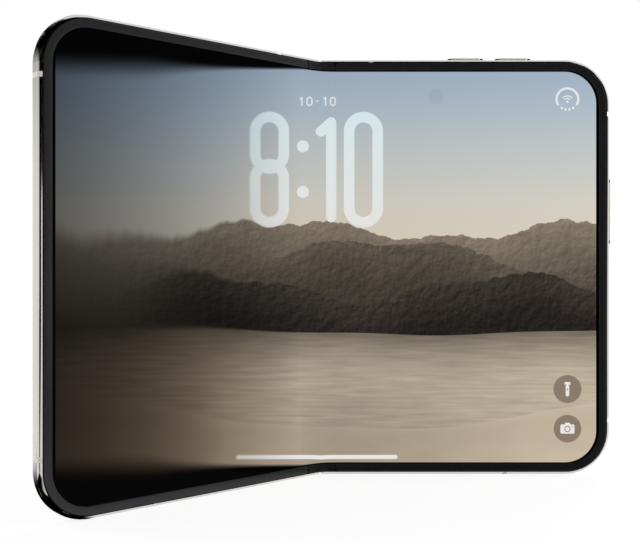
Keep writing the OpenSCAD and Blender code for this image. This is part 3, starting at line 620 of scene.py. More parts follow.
class Mould:
    """A mesh in millimetres in a flat frame, shaped by mesh operators."""

    def __init__(self) -> None:
        """Starts an empty mesh."""
        self.mesh = bmesh.new()

    def face(self, corners: Iterable[Spot3]) -> bmesh.types.BMFace:
        """Adds a face from its corners."""
        return self.mesh.faces.new([self.mesh.verts.new(c) for c in corners])

    def section(self, z: Spot, y: Spot, x: float, radius: float = 0.0) -> bmesh.types.BMFace:
        """Draws a rectangle across x with its two front edges rounded.

        Args:
            z: Lower and upper edge.
            y: Front and rear level.
            x: Where it stands.
            radius: Radius of the front edges, or 0 for square ones.

        Returns:
            The face.
        """
        drawn = self.face([(x, y[0], z[0]), (x, y[0], z[1]), (x, y[1], z[1]), (x, y[1], z[0])])
        if radius:
            front = [v for v in drawn.verts if v.co.y < sum(y) / 2]
            bevel(self.mesh, front, radius, EDGE_SEGMENTS, "VERTICES")
            self.mesh.faces.ensure_lookup_table()
            drawn = self.mesh.faces[-1]
        return drawn

    def pull(self, face: bmesh.types.BMFace, way: Sequence[float]) -> bmesh.types.BMFace:
        """Extrudes a face along a vector.

        Args:
            face: The face that is pulled.
            way: How far it is pulled along each axis.

        Returns:
            The new end face.
        """
        made = bmesh.ops.extrude_face_region(self.mesh, geom=[face])["geom"]
        moved = [g for g in made if isinstance(g, bmesh.types.BMVert)]
        bmesh.ops.translate(self.mesh, verts=moved, vec=way)
        return next(g for g in made if isinstance(g, bmesh.types.BMFace))

    def turn(self, face: bmesh.types.BMFace, centre: Sequence[float], axis: Sequence[float],
             degrees: float, steps: int) -> bmesh.types.BMFace:
        """Spins a face about an axis.

        Args:
            face: The face that is swept.
            centre: A point on the axis.
            axis: The axis' direction.
            degrees: How far it turns.
            steps: How many steps it takes.

        Returns:
            The new end face.
        """
        geometry = [face, *face.edges, *face.verts]
        made = bmesh.ops.spin(self.mesh, geom=geometry, cent=centre, axis=axis,
                              angle=math.radians(degrees), steps=steps)
        return next(g for g in made["geom_last"] if isinstance(g, bmesh.types.BMFace))

    def lathe(self, outline: Sequence[Spot], x: float, z: float, steps: int) -> None:
        """Turns an outline of radius and level about an axis through the body.

        Args:
            outline: Radius and level of each point, in order.
            x: The axis' distance from the fold.
            z: The axis' height.
            steps: Steps of the full turn.
        """
        points = [self.mesh.verts.new((x + r, y, z)) for r, y in outline]
        edges = [self.mesh.edges.new(pair) for pair in zip(points, points[1:])]
        bmesh.ops.spin(self.mesh, geom=[*points, *edges], cent=(x, 0, z), axis=(0, 1, 0),
                       angle=math.tau, steps=steps, use_merge=True)
        bmesh.ops.remove_doubles(self.mesh, verts=self.mesh.verts, dist=MERGE_GAP)

    def pill(self, length: float, width: float, low: float, high: float,
             edge: float) -> None:
        """Adds an upright block with round ends, its long side along x.

        Args:
            length: Length over the ends.
            width: Width, along y.
            low: Level of its foot.
            high: Level of its top.
            edge: Radius of its top edge.
        """
        size = Matrix.Diagonal((length, width, high - low, 1))
        shift = Matrix.Translation((0, 0, (low + high) / 2))
        made = bmesh.ops.create_cube(self.mesh, size=1, matrix=shift @ size)["verts"]
        upright = {e for v in made for e in v.link_edges
                   if abs(e.verts[0].co.z - e.verts[1].co.z) > (high - low) / 2}
        ends = bevel(self.mesh, list(upright), width * PILL_END, PILL_SEGMENTS)
        if edge:
            verts = {v for f in ends for v in f.verts} | {v for v in made if v.is_valid}
            top = {e for v in verts for e in v.link_edges
                   if min(p.co.z for p in e.verts) > high - LEVEL_SLACK}
            bevel(self.mesh, list(top), edge, EDGE_SEGMENTS)

    def mirror(self) -> None:
        """Turns the shape over to the other side of the fold."""
        bmesh.ops.scale(self.mesh, vec=(-1, 1, 1), verts=self.mesh.verts)

    def tidy(self) -> None:
        """Merges doubles and points the faces outwards."""
        bmesh.ops.remove_doubles(self.mesh, verts=self.mesh.verts, dist=MERGE_GAP)
        bmesh.ops.recalc_face_normals(self.mesh, faces=self.mesh.faces)

    def map_surface(self, along: Callable[[Vector], Spot]) -> None:
        """Adds the surface map, with distances in millimetres.

        Args:
            along: Gives a point's distance across the fold and its height.
        """
        layer = self.mesh.loops.layers.uv.new("surface")
        for face in self.mesh.faces:
            for loop in face.loops:
                across, up = along(loop.vert.co)
                loop[layer].uv = (0.5 + across / MAP_SIDE, 0.5 + up / MAP_SIDE)

    def piece(self, name: str, place: Place,
              smooth_deg: float = SMOOTH_DEG) -> bpy.types.Object:
        """Makes the object, with its place in its mesh.

        Args:
            name: The piece's name.
            place: The flat frame that the mesh is drawn in.
            smooth_deg: Edges sharper than this stay sharp.

        Returns:
            The object, in the row frame.
        """
        self.tidy()
        self.mesh.transform(SIZES.placement(place))
        data = cast(self.mesh, name)
        data.shade_smooth()
        data.set_sharp_from_angle(angle=math.radians(smooth_deg))
        return put(name, data)


@dataclass
class Assembly:
    """A sub-assembly that adds pieces and reports them."""

    dresser: Dresser

    def fit(self, piece: bpy.types.Object, slot: str, body: str, *nodes: str,
            finish: str = "") -> None:
        """Dresses a rigid piece and fixes it to its body.

        Args:
            piece: The piece.
            slot: The record's material slot.
            body: The body that it moves with.
            *nodes: The nodes that it stands for.
            finish: The name of its finish, where it isn't the slot's.
        """
        self.dresser.dress(piece, finish or slot)
        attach(piece, body)
        if nodes:
            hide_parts(*nodes)
        LOG.info("%s on %s, %d faces", piece.name, body, len(piece.data.polygons))


# ---- Picture on the screen ----
class MarkKind(Enum):
    """Shape of a mark on the screen."""

    DOT = "dot"
    STROKE = "stroke"
    LOOP = "loop"
    PLATE = "plate"
    RING = "ring"


@dataclass(frozen=True)
class Mark:
    """A mark on the screen, in millimetres from the middle of the fold.

    A dot has a radius. A stroke runs to its second spot. A loop is a ring with straight
    sides, whose second spot holds its straight half height and its middle radius. A plate's
    second spot holds its half sizes. A ring's second spot holds its middle radius.
    """

    kind: MarkKind
    at: Spot
    second: Spot = (0.0, 0.0)
    radius: float = 0.3

    def distance(self, graph: Graph, spot: Wire) -> Wire:
        """Distance to the mark's edge, which is negative inside it.

        Args:
            graph: The picture's graph.
            spot: The place on the picture.

        Returns:
            The distance.
        """
        if self.kind is MarkKind.STROKE:
            return self._stroke(graph, spot)
        arm = graph.vector("SUBTRACT", spot, (*self.at, 0.0))
        if self.kind is MarkKind.DOT:
            return graph.vector("LENGTH", arm) - self.radius
        if self.kind is MarkKind.RING:
            gap = graph.vector("LENGTH", arm) - self.second[0]
            return graph.math("ABSOLUTE", gap) - self.radius
        straight = (0.0, self.second[0]) if self.kind is MarkKind.LOOP else (
            self.second[0] - self.radius, self.second[1] - self.radius)
        beyond = graph.vector("SUBTRACT", graph.vector("ABSOLUTE", arm), (*straight, 0.0))
        gap = graph.vector("LENGTH", graph.vector("MAXIMUM", beyond, (0.0, 0.0, 0.0)))
        if self.kind is MarkKind.LOOP:
            return graph.math("ABSOLUTE", gap - self.second[1]) - self.radius
        return gap - self.radius

    def _stroke(self, graph: Graph, spot: Wire) -> Wire:
        """Distance to a stroke with round ends.

        Args:
            graph: The picture's graph.
            spot: The place on the picture.

        Returns:
            The distance.
        """
        way = Vector((*self.second, 0.0)) - Vector((*self.at, 0.0))
        arm = graph.vector("SUBTRACT", spot, (*self.at, 0.0))
        share = graph.math("MULTIPLY", graph.vector("DOT_PRODUCT", arm, way),
                           1 / way.length_squared, clamp=True)
        near = graph.vector("SCALE", (*way[:2], 0.0), share)
        return graph.vector("DISTANCE", arm, near) - self.radius


@dataclass(frozen=True)
class Drift:
    """A soft layer of the wallpaper below a wavy crest, in millimetres."""

    level: float
    waves: tuple[Spot3, ...]
    crest: Colour
    foot: Colour
    fade: float = 14.0
    sheen: float = 0.05
    relief: float = 0.12
    woods: float = 0.0
    rugged: float = 0.0
    ripples: float = 0.0

    def edge(self, graph: Graph, across: Wire) -> Wire:
        """Height of the crest across the screen.

        Args:
            graph: The picture's graph.
            across: The distance from the fold.

        Returns:
            The height.
        """
        height: Number = self.level
        for swing, length, shift in self.waves:
            height = graph.math("SINE", across * (math.tau / length) + shift) * swing + height
        if self.rugged:
            spot = graph.point(across, self.level * 9.0)
            height = graph.span(graph.noise(spot, 0.3, 5.0), -self.rugged, self.rugged) + height
        return height


@dataclass(frozen=True)
class Canvas:
    """Wires that the picture is drawn from, in millimetres.

    Attributes:
        graph: The picture's graph.
        place: Distance from the fold and height on the surface.
        x: Distance from the fold on the flat picture.
        y: Height on the flat picture.
        left: The same as x on the raised half, and 0 on the other.
        soft: How soft the edges are.
    """

    graph: Graph
    place: Wire
    x: Wire
    y: Wire
    left: Wire
    soft: Wire

    def cover(self, marks: Sequence[Mark], blur: float = 1.0) -> Wire:
        """Works out how far a group of marks covers each point.

        Args:
            marks: The marks.
            blur: How soft their edges are, as a share of the usual.

        Returns:
            The cover, from 0 to 1.
        """
        spot = self.graph.point(self.x, self.y)
        gaps = [mark.distance(self.graph, spot) for mark in marks]
        nearest = gaps[0]
        for gap in gaps[1:]:
            nearest = self.graph.math("MINIMUM", nearest, gap)
        return self.graph.ease(nearest, self.soft * blur, self.soft * -blur)


@dataclass(frozen=True)
class ScreenPicture:
    """The picture across both halves, drawn on the raised half to look flat and with painted
    shade.
    """

    tilt_deg: float = 40.0
    reach: float = 262.0
    half_height: float = 56.65
    half_width: float = 80.12
    corner: float = 9.2
    mist: float = 0.75
    mist_colour: Colour = (0.60, 0.56, 0.50)
    # painted light and shade along the picture's foot, by distance from the fold
    foot_light: tuple[tuple[float, Colour], ...] = tuple(
        (0.5 + x / LIGHT_SPAN, (share / 2, share / 2, share / 2)) for x, share in (
            (-64.0, 1.0), (-40.0, 1.05), (-27.0, 1.13), (-16.0, 1.04), (-4.0, 0.9), (6.0, 0.87),
            (30.0, 0.91), (62.0, 1.0)))
    sky: tuple[tuple[float, Colour], ...] = (
        (0.0, (0.81, 0.77, 0.67)), (0.53, (0.81, 0.765, 0.68)), (0.66, (0.785, 0.765, 0.72)),
        (0.80, (0.71, 0.735, 0.735)), (0.92, (0.635, 0.69, 0.735)), (1.0, (0.59, 0.655, 0.72)))
    drifts: tuple[Drift, ...] = (
        Drift(10.8, ((2.6, 92.0, 2.3), (1.1, 31.0, 0.4)), (0.475, 0.435, 0.38),
              (0.38, 0.35, 0.305), woods=0.8, rugged=1.6),
        Drift(3.4, ((4.4, 108.0, 0.5), (1.5, 41.0, 1.7)), (0.345, 0.315, 0.28),
              (0.26, 0.24, 0.21), woods=1.2, rugged=1.8),
        Drift(-6.0, ((3.9, 88.0, 3.9), (1.3, 35.0, 2.6)), (0.225, 0.205, 0.185),
              (0.155, 0.14, 0.13), woods=1.7, rugged=2.0),
        Drift(-18.5, ((1.1, 170.0, 3.6), (0.25, 47.0, 0.0)), (0.60, 0.555, 0.49),
              (0.70, 0.65, 0.575), fade=14.0, sheen=-0.3, relief=0.03, ripples=0.16),
        Drift(-42.0, ((5.2, 210.0, 4.3), (0.5, 67.0, 1.0)), (0.705, 0.65, 0.575),
              (0.74, 0.685, 0.60), fade=20.0, sheen=0.05, relief=0.04),
    )
    grain_scale: float = 3.2
    grain_swing: float = 0.02
    folds_scale: float = 0.16
    folds_stretch: Spot3 = (0.5, 1.0, 1.0)
    woods_scale: float = 0.42
    woods_shift: Spot3 = (-0.26, 0.3, 0.0)
    ripples_scale: float = 0.9
    ripples_stretch: Spot3 = (0.07, 1.0, 1.0)
    mist_x: Spot = (-25.0, -80.0)
    bright_crest: float = -0.7
    dark_crest: float = -0.22
    # painted light: per millimetre, the picture grows lighter towards the right and darker towards
    # the left
    gain: float = 1.0007
    # home bar, drawn over the painted shade; its ink darkens towards the raised half as painted
    # shade
    bar_x: Spot = (-3.0, -26.0)
    bar_ink: Colour = (0.91, 0.90, 0.885)
    bar_ink_shaded: Colour = (0.75, 0.74, 0.72)
    bar_blur: float = 0.8
    # Painted shade on the raised half: where the ground starts, how fast it darkens, and its
    # tints.
    ground_y: Spot = (14.0, -30.0)
    foot_y: Spot = (-20.0, -48.0)
    dim_start: float = 6.0
    dim_rates: Spot = (0.0077, 0.0225)
    dim_curve: float = 0.00004
    sky_shade_tint: Colour = (0.99, 1.01, 1.04)
    ground_shade_tint: Colour = (1.05, 1.0, 0.95)
    tint_reach: float = -35.0
    panel_edge: float = 0.06
    wedge_gap: float = 0.9
    wedge_curve: float = 0.0003
    fade_range: Spot = (0.6, 5.2)
    fade_curve: float = -0.0000375
    soft_least: float = 0.12
    soft_curve: float = 0.0009
    gamma: float = 2.2

    def build(self) -> bpy.types.NodeTree:
        """Makes the picture's node group, from a place on the surface to its colour.

        Returns:
            The group, with the input Place in millimetres and the output Picture.
        """
        tree = bpy.data.node_groups.new("screen_picture", "ShaderNodeTree")
        tree.interface.new_socket("Place", in_out="INPUT", socket_type="NodeSocketVector")
        tree.interface.new_socket("Picture", in_out="OUTPUT", socket_type="NodeSocketColor")
        graph = Graph(tree)
        canvas = self.canvas(graph, graph.result("NodeGroupInput", {}))
        colour = self.wallpaper(canvas)
        # painted shade on the raised half, over the wallpaper and the marks
        colour = self.shade(canvas, self.marks(canvas, colour))
        # home bar with painted shade: its ink darkens towards the raised half
        ink = graph.mix(graph.ease(canvas.x, *self.bar_x), self.bar_ink, self.bar_ink_shaded)
        colour = graph.mix(canvas.cover((HOME_BAR,), self.bar_blur), colour, ink)
        colour = self.trim(canvas, colour)
        shown = graph.result("ShaderNodeGamma", {0: colour, 1: self.gamma})
        graph.feed(graph.node("NodeGroupOutput").inputs[0], shown)
        return tree

    def canvas(self, graph: Graph, place: Wire) -> Canvas:
        """Works out where the picture's points are when the raised half looks flat.

        Args:
            graph: The picture's graph.
            place: Distance from the fold and height on the surface.

        Returns:
            The wires that the picture is drawn from.
        """
        across, up, _ = graph.parts(place)
        raised = graph.math("MINIMUM", across, 0.0)
        tilt = math.radians(self.tilt_deg)
        near = self.reach / (raised * math.sin(tilt) + self.reach)
        x = graph.math("MAXIMUM", across, 0.0) + raised * near * math.cos(tilt)
        left = graph.math("MINIMUM", x, 0.0)
        soft = left * left * self.soft_curve + self.soft_least
        return Canvas(graph, place, x, up * near, left, soft)

    def wallpaper(self, canvas: Canvas) -> Wire:
        """Draws the sky and the drifts below it.

        Args:
            canvas: The wires that it is drawn from.

        Returns:
            The colour.
        """
        graph, x, y, soft = canvas.graph, canvas.x, canvas.y, canvas.soft
        height = graph.span(y, 0.5, 0.5 + 0.5 / self.half_height)
        colour = graph.ramp(height, self.sky)
        spot = graph.point(x, y)
        grain = graph.noise(spot, self.grain_scale, 3.0)
        folds, ripples = (
            graph.noise(graph.vector("MULTIPLY", spot, stretch), scale, 4.0)
            for stretch, scale in ((self.folds_stretch, self.folds_scale),
                                   (self.ripples_stretch, self.ripples_scale)))
        lit, shaded = (graph.noise(graph.vector("ADD", spot, shift), self.woods_scale, 9.0)
                       for shift in ((0.0, 0.0, 0.0), self.woods_shift))
        woods = shaded - lit
        mist = graph.ease(x, *self.mist_x) * self.mist
        for drift in self.drifts:
            depth = drift.edge(graph, x) - y
            body = graph.mix(graph.ease(depth, 0.0, drift.fade), drift.crest, drift.foot)
            light = graph.span(folds, 1.0 - drift.relief, 1.0 + drift.relief)
            light = light + graph.span(grain, -self.grain_swing, self.grain_swing)
            reach = self.bright_crest if drift.sheen > 0 else self.dark_crest
            light = light + graph.math("EXPONENT", depth * reach) * drift.sheen
            if drift.woods:
                light = light + woods * drift.woods
            if drift.ripples:
                light = light + graph.span(ripples, -drift.ripples, drift.ripples)
            body = graph.vector("SCALE", body, light)
            if drift.woods:
                body = graph.mix(mist, body, self.mist_colour)
            colour = graph.mix(graph.ease(depth, -soft, soft), colour, body)
        # painted light: a little lighter towards the right and darker towards the left
        return graph.vector("SCALE", colour, graph.span(x, 1.0, self.gain))

    def marks(self, canvas: Canvas, colour: Wire) -> Wire:
        """Draws the clock, the date, the status ring and the two buttons.

        Args:
            canvas: The wires that they are drawn from.
            colour: The colour behind them.

        Returns:
            The colour.
        """
        graph, y = canvas.graph, canvas.y
        clock_ink = graph.ramp(graph.span(y, *CLOCK_INK_SPAN), CLOCK_INK)
        ring_foot = graph.ease(y, *RING_FOOT)
        side = graph.math("ABSOLUTE", canvas.x - STATUS_X)
        fan = graph.ease(y - WAVES_Y - side * FAN_SLOPE, *FAN_EDGE)
        for marks, ink, share, keep in (
                (CAMERA_WINDOW, WINDOW_INK, 0.3, 1.0),
                (CLOCK, clock_ink, 0.97, 1.0),
                (DATE, DATE_INK, 0.95, 1.0),
                (STATUS_RING, STATUS_INK, 0.95, ring_foot),
                (STATUS_DOTS, STATUS_INK, 0.95, 1.0),
                (STATUS_WAVES, STATUS_INK, 0.95, fan),
                (DISCS, DISC_INK, 0.86, 1.0),
                (TORCH, SIGN_INK, 0.97, 1.0),
                (TORCH_SWITCH, DISC_INK, 0.9, 1.0),
                (SHUTTER, SIGN_INK, 0.97, 1.0),
                (SHUTTER_LENS, DISC_INK, 0.9, 1.0)):
            colour = graph.mix(canvas.cover(marks) * share * keep, colour, ink)
        return colour

    def shade(self, canvas: Canvas, colour: Wire) -> Wire:
        """Paints shade on the raised half towards its outer edge, most of all at the foot.

        Args:
            canvas: The wires that the picture is drawn from.
            colour: The lit colour.

        Returns:
            The colour.
        """
        graph, y = canvas.graph, canvas.y
        ground = graph.ease(y, *self.ground_y)
        reach = graph.math("MINIMUM", canvas.left + self.dim_start, 0.0)
        curve = graph.span(ground, -self.dim_curve, self.dim_curve)
        rate = graph.span(ground, *self.dim_rates) + curve * reach
        colour = graph.vector("SCALE", colour, graph.math("EXPONENT", reach * rate))
        # painted light and shade along the foot, read from foot_light by distance from the fold
        place = graph.span(canvas.x, 0.5, 0.5 + 1 / LIGHT_SPAN)
        by_fold = graph.parts(graph.ramp(place, self.foot_light))[0]
        light = 1.0 + graph.ease(y, *self.foot_y) * (by_fold * 2.0 - 1.0)
        colour = graph.vector("SCALE", colour, light)
        # tint of the painted shade, cool in the sky and warm on the ground
        tint = graph.mix(ground, self.sky_shade_tint, self.ground_shade_tint)
        tint = graph.mix(graph.ease(reach, 0.0, self.tint_reach), (1.0, 1.0, 1.0), tint)
        return graph.vector("MULTIPLY", colour, tint)

    def trim(self, canvas: Canvas, colour: Wire) -> Wire:
        """Blackens the screen's margin and the wedges above and below the picture.

        Args:
            canvas: The wires that the picture is drawn from.
            colour: The colour.

        Returns:
            The colour.
        """
        graph, left = canvas.graph, canvas.left
        panel = Mark(MarkKind.PLATE, (0.0, 0.0), (self.half_width, self.half_height),
                     self.corner).distance(graph, canvas.place)
        inside = graph.ease(panel, self.panel_edge, -self.panel_edge)
        limit = left * left * self.wedge_curve + (self.half_height + self.wedge_gap)
        fade = left * left * left * self.fade_curve + self.fade_range[0]
        fade = graph.math("MINIMUM", fade, self.fade_range[1])
        gap = graph.math("ABSOLUTE", canvas.y) - limit
        return graph.vector("SCALE", colour, inside * graph.ease(gap, fade, -fade))


CLOCK_INK_SPAN = (-0.43, -0.3967)
CLOCK_INK = ((0.0, (0.89, 0.89, 0.885)), (0.7, (0.86, 0.905, 0.90)),
             (1.0, (0.835, 0.90, 0.915)))
WINDOW_INK, DATE_INK = (0.56, 0.62, 0.68), (0.90, 0.905, 0.91)
STATUS_INK, DISC_INK, SIGN_INK = (0.92, 0.93, 0.935), (0.50, 0.45, 0.39), (0.93, 0.92, 0.91)
CLOCK_STROKE = 1.55
CLOCK = (
    Mark(MarkKind.LOOP, (-14.6, 36.05), (3.3, 4.15), CLOCK_STROKE),
    Mark(MarkKind.LOOP, (-14.6, 21.4), (4.25, 4.15), CLOCK_STROKE),
    Mark(MarkKind.DOT, (-4.9, 35.0), radius=1.75),
    Mark(MarkKind.DOT, (-4.9, 21.8), radius=1.75),
    Mark(MarkKind.STROKE, (3.2, 41.9), (3.2, 14.5), CLOCK_STROKE),
    Mark(MarkKind.STROKE, (3.2, 41.9), (0.2, 39.3), CLOCK_STROKE),
    Mark(MarkKind.LOOP, (12.6, 28.25), (11.1, 4.15), CLOCK_STROKE),
)
DATE_STROKE = 0.2
DATE = (
    *(Mark(MarkKind.STROKE, (x, 49.2), (x - slant, 49.2 - drop), DATE_STROKE)
      for x in (-5.2, 1.5) for slant, drop in ((0.0, 2.3), (0.5, 0.5))),
    *(Mark(MarkKind.LOOP, (x, 48.05), (0.45, 0.7), DATE_STROKE) for x in (-3.0, 3.7)),
    Mark(MarkKind.DOT, (-0.9, 48.05), radius=0.26),
)
STATUS_X, STATUS_Y = 71.8, 48.7
WAVES_Y = STATUS_Y - 0.8
RING_FOOT = (STATUS_Y - 1.9, STATUS_Y - 1.5)
FAN_SLOPE, FAN_EDGE = 0.8, (-0.05, 0.1)
STATUS_RING = (Mark(MarkKind.RING, (STATUS_X, STATUS_Y), (3.14, 0.0), 0.3),)
STATUS_DOTS = tuple(
    Mark(MarkKind.DOT, (STATUS_X + x, STATUS_Y + y), radius=0.33)
    for x, y in ((-1.63, -2.57), (-0.54, -2.97), (0.54, -2.97), (1.63, -2.57), (0.0, -0.75)))
STATUS_WAVES = tuple(
    Mark(MarkKind.RING, (STATUS_X, WAVES_Y), (r, 0.0), 0.16) for r in (1.0, 1.75))
DISC_X, TORCH_Y, SHUTTER_Y = 71.8, -35.4, -46.9
DISCS = (Mark(MarkKind.DOT, (DISC_X, TORCH_Y), radius=4.05),
         Mark(MarkKind.DOT, (DISC_X, SHUTTER_Y), radius=4.0))
TORCH = (Mark(MarkKind.PLATE, (DISC_X, TORCH_Y + 1.65), (0.85, 0.4), 0.2),
         Mark(MarkKind.STROKE, (DISC_X, TORCH_Y + 0.8), (DISC_X, TORCH_Y - 1.6), 0.52))
TORCH_SWITCH = (Mark(MarkKind.STROKE, (DISC_X, TORCH_Y + 0.1),
                     (DISC_X, TORCH_Y - 0.3), 0.13),)
SHUTTER = (Mark(MarkKind.PLATE, (DISC_X, SHUTTER_Y - 0.1), (2.05, 1.35), 0.45),
           Mark(MarkKind.PLATE, (DISC_X, SHUTTER_Y + 1.35), (0.75, 0.4), 0.3))
SHUTTER_LENS = (Mark(MarkKind.RING, (DISC_X, SHUTTER_Y - 0.1), (0.78, 0.0), 0.13),
                Mark(MarkKind.DOT, (DISC_X + 1.4, SHUTTER_Y + 0.6), radius=0.15))
HOME_BAR = Mark(MarkKind.STROKE, (-23.6, -55.1), (21.9, -55.1), 0.6)
CAMERA_WINDOW = (Mark(MarkKind.DOT, (33.6, 49.5), radius=2.3),)


@dataclass(frozen=True)
class Strip:
    """A layer that bends over the fold.

    Attributes:
        name: The start of its pieces' names.
        node: The node that they stand for.
        slot: The record's material slot; not used.
        finish: The name of their finish.
        levels: Front and rear level below the front plane.
        heights: Lower and upper edge.
        edge: Radius of its front edges, or 0 where it meets its neighbours.
    """

    name: str
    node: str
    slot: str
    finish: str
    levels: Spot
    heights: Spot
    edge: float = 0.0


@dataclass
class Screen(Assembly):
    """The folding display: its picture, its two flat panels and its bending middle."""

    picture: ScreenPicture = field(default_factory=ScreenPicture)
    levels: Spot = (SIZES.border_height, SIZES.border_height + SIZES.panel)
    heights: Spot = (SIZES.rim + SIZES.fit, SIZES.height - SIZES.rim - SIZES.fit)
    unlit: Colour = (0.0008, 0.0008, 0.0008)
    specular: float = 0.015
    rough: Spot = (0.1, 0.16)
    cloud_scale: float = 120.0

    def place_on(self, graph: Graph, place: Optional[Place]) -> Wire:
        """Gives the place on the screen's surface, in millimetres.

        Args:
            graph: The material's graph.
            place: The half that the panel lies on, or None over the fold.

        Returns:
            The distance from the fold and the height from the middle.
        """
        if place is None:
            return graph.vector("SCALE", graph.on_map(), 1 / MILLIMETRE)
        across, up = graph.on_flat(place)
        return graph.point(across, up - SIZES.mid_z)

    def panel_material(self, name: str, place: Optional[Place],
                       group: bpy.types.NodeTree) -> None:
        """Makes the lit panel's material for one stretch of the screen.

        Args:
            name: The material's name.
            place: The half that the stretch lies on, or None over the fold.
            group: The picture's node group.
        """
        material, graph = new_material(name)
        picture = graph.node("ShaderNodeGroup", node_tree=group)
        graph.feed(picture.inputs[0], self.place_on(graph, place))
        spot = graph.on_map() if place is None else graph.on_object()
        graph.shade({
            "Base Color": (*self.unlit, 1.0),
            "Specular IOR Level": self.specular,
            "Emission Strength": 1.0,
            "Emission Color": Wire(graph, picture.outputs[0]),
            "Roughness": graph.span(graph.noise(spot, self.cloud_scale, 3.0), *self.rough)})
        self.dresser.add(name, material)

    def build(self) -> None:
        """Dresses the flat panels and makes the bending middle from two halves."""
        group = self.picture.build()
        for name, place in (("screen_right", Place.RIGHT), ("screen_left", Place.LEFT),
                            ("screen_fold", None)):
            self.panel_material(name, place, group)
        for node, name in (("right_display", "screen_right"), ("left_display", "screen_left")):
            panel = frame["nodes"][node]
            self.dresser.dress(panel, name)
            LOG.info("%s carries its picture", node)
        Fold(self.dresser).lay(Strip("display_fold", "display_fold_zone", "display_panel",
                                     "screen_fold", self.levels, self.heights))


@dataclass
class Fold(Assembly):
    """Layers that bend over the fold, each made as a right and a left half."""

    steps: int = 14
    border_edge: float = 0.12
    border_inset: float = 0.26
    border_gap_deg: float = 0.7
    flex_levels: Spot = (1.15, 1.3)
    flex_heights: Spot = (72.3, 84.3)

    def along(self, point: Vector) -> Spot:
        """Distance from the fold on the front plane, and height from the middle."""
        angle = math.atan2(point.x, point.y - SIZES.bend_y)
        return (SIZES.fold_half * angle / math.radians(SIZES.turn_deg), point.z - SIZES.mid_z)

    def half(self, strip: Strip, side: Side) -> bpy.types.Object:
        """Spins one half of a layer about the bend's centre.

        Args:
            strip: The layer.
            side: The side of the fold.

        Returns:
            The piece.
        """
        mould = Mould()
        base = SIZES.bend_y + SIZES.bend_radius
        levels = (base + strip.levels[0], base + strip.levels[1])
        start = mould.section(strip.heights, levels, 0.0, strip.edge)
        gap = self.border_gap_deg if strip.edge else SIZES.seam_deg
        sweep = side.value * (SIZES.turn_deg - gap)
        mould.turn(start, (0, SIZES.bend_y, 0), (0, 0, -1), sweep, self.steps)
        mould.map_surface(self.along)
        return mould.piece(f"{strip.name}_{side.name.lower()}", Place.SPINE)

    def lay(self, strip: Strip) -> None:
        """Makes both halves of a layer, dresses them and bakes their transforms.

        Args:
            strip: The layer.
        """
        end = SIZES.fold_end()
        for side in Side:
            piece = self.half(strip, side)
            self.dresser.dress(piece, strip.finish)
            if side is Side.RIGHT:
                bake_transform(piece)
            else:
                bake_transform(piece)
            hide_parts(strip.node)
            LOG.info("%s bends over the fold", piece.name)

    def build(self) -> None:
        """Makes the border's strips over the fold and the hinge flex."""
        foot = SIZES.rim + SIZES.fit + self.border_inset
        head = SIZES.rim + SIZES.border_width
        tall = SIZES.height
        for where, heights in (("lower", (foot, head)), ("upper", (tall - head, tall - foot))):
            self.lay(Strip(f"border_strip_{where}", f"{where}_bezel_strip", "black_bezel",
                           "border_fold", (0.0, SIZES.border_height), heights,
                           self.border_edge))
        self.lay(Strip("hinge_flex", "hinge_flex", "flex_film", "flex_fold",
                       self.flex_levels, self.flex_heights))


@dataclass
class Borders(Assembly):
    """Raised black borders round three sides of each half's display."""

    edge: float = 0.24
    corner_steps: int = 28
    fold_gap: float = 0.14
    groove: float = 0.18
    end_length: float = 0.7
    end_inset: float = 0.3

    def half(self, name: str, side: Side) -> bpy.types.Object:
        """Sweeps the border's section round the rim.

        Args:
            name: The piece's name.
            side: The side of the fold.

        Returns:
            The piece.
        """
        mould = Mould()
        low, high = SIZES.rim + SIZES.fit + self.groove, SIZES.rim + SIZES.border_width
        tall, levels = SIZES.height, (0.0, SIZES.border_height)
        for heights in ((low + self.end_inset, high), (tall - high, tall - low - self.end_inset)):
            tip = mould.section(heights, levels, SIZES.fold_half + self.fold_gap, self.edge)
            mould.pull(tip, (self.end_length - self.fold_gap, 0, 0))
        start = SIZES.fold_half + self.end_length
        run = SIZES.core_x - start
        end = mould.pull(mould.section((low, high), levels, start, self.edge), (run, 0, 0))
        end = mould.turn(end, (SIZES.core_x, 0, SIZES.corner), (0, -1, 0), 90,
                         self.corner_steps)
        end = mould.pull(end, (0, 0, SIZES.height - 2 * SIZES.corner))
        end = mould.turn(end, (SIZES.core_x, 0, SIZES.height - SIZES.corner), (0, -1, 0), 90,
                         self.corner_steps)
        mould.pull(end, (-run, 0, 0))
        if side is Side.LEFT:
            mould.mirror()
        return mould.piece(name, Place.RIGHT if side is Side.RIGHT else Place.LEFT)

    def build(self) -> None:
        """Makes both borders."""
        for side in Side:
            half = side.name.lower()
            self.fit(self.half(f"{half}_border", side), "black_bezel", f"{half}_half",
                     f"{half}_bezel")


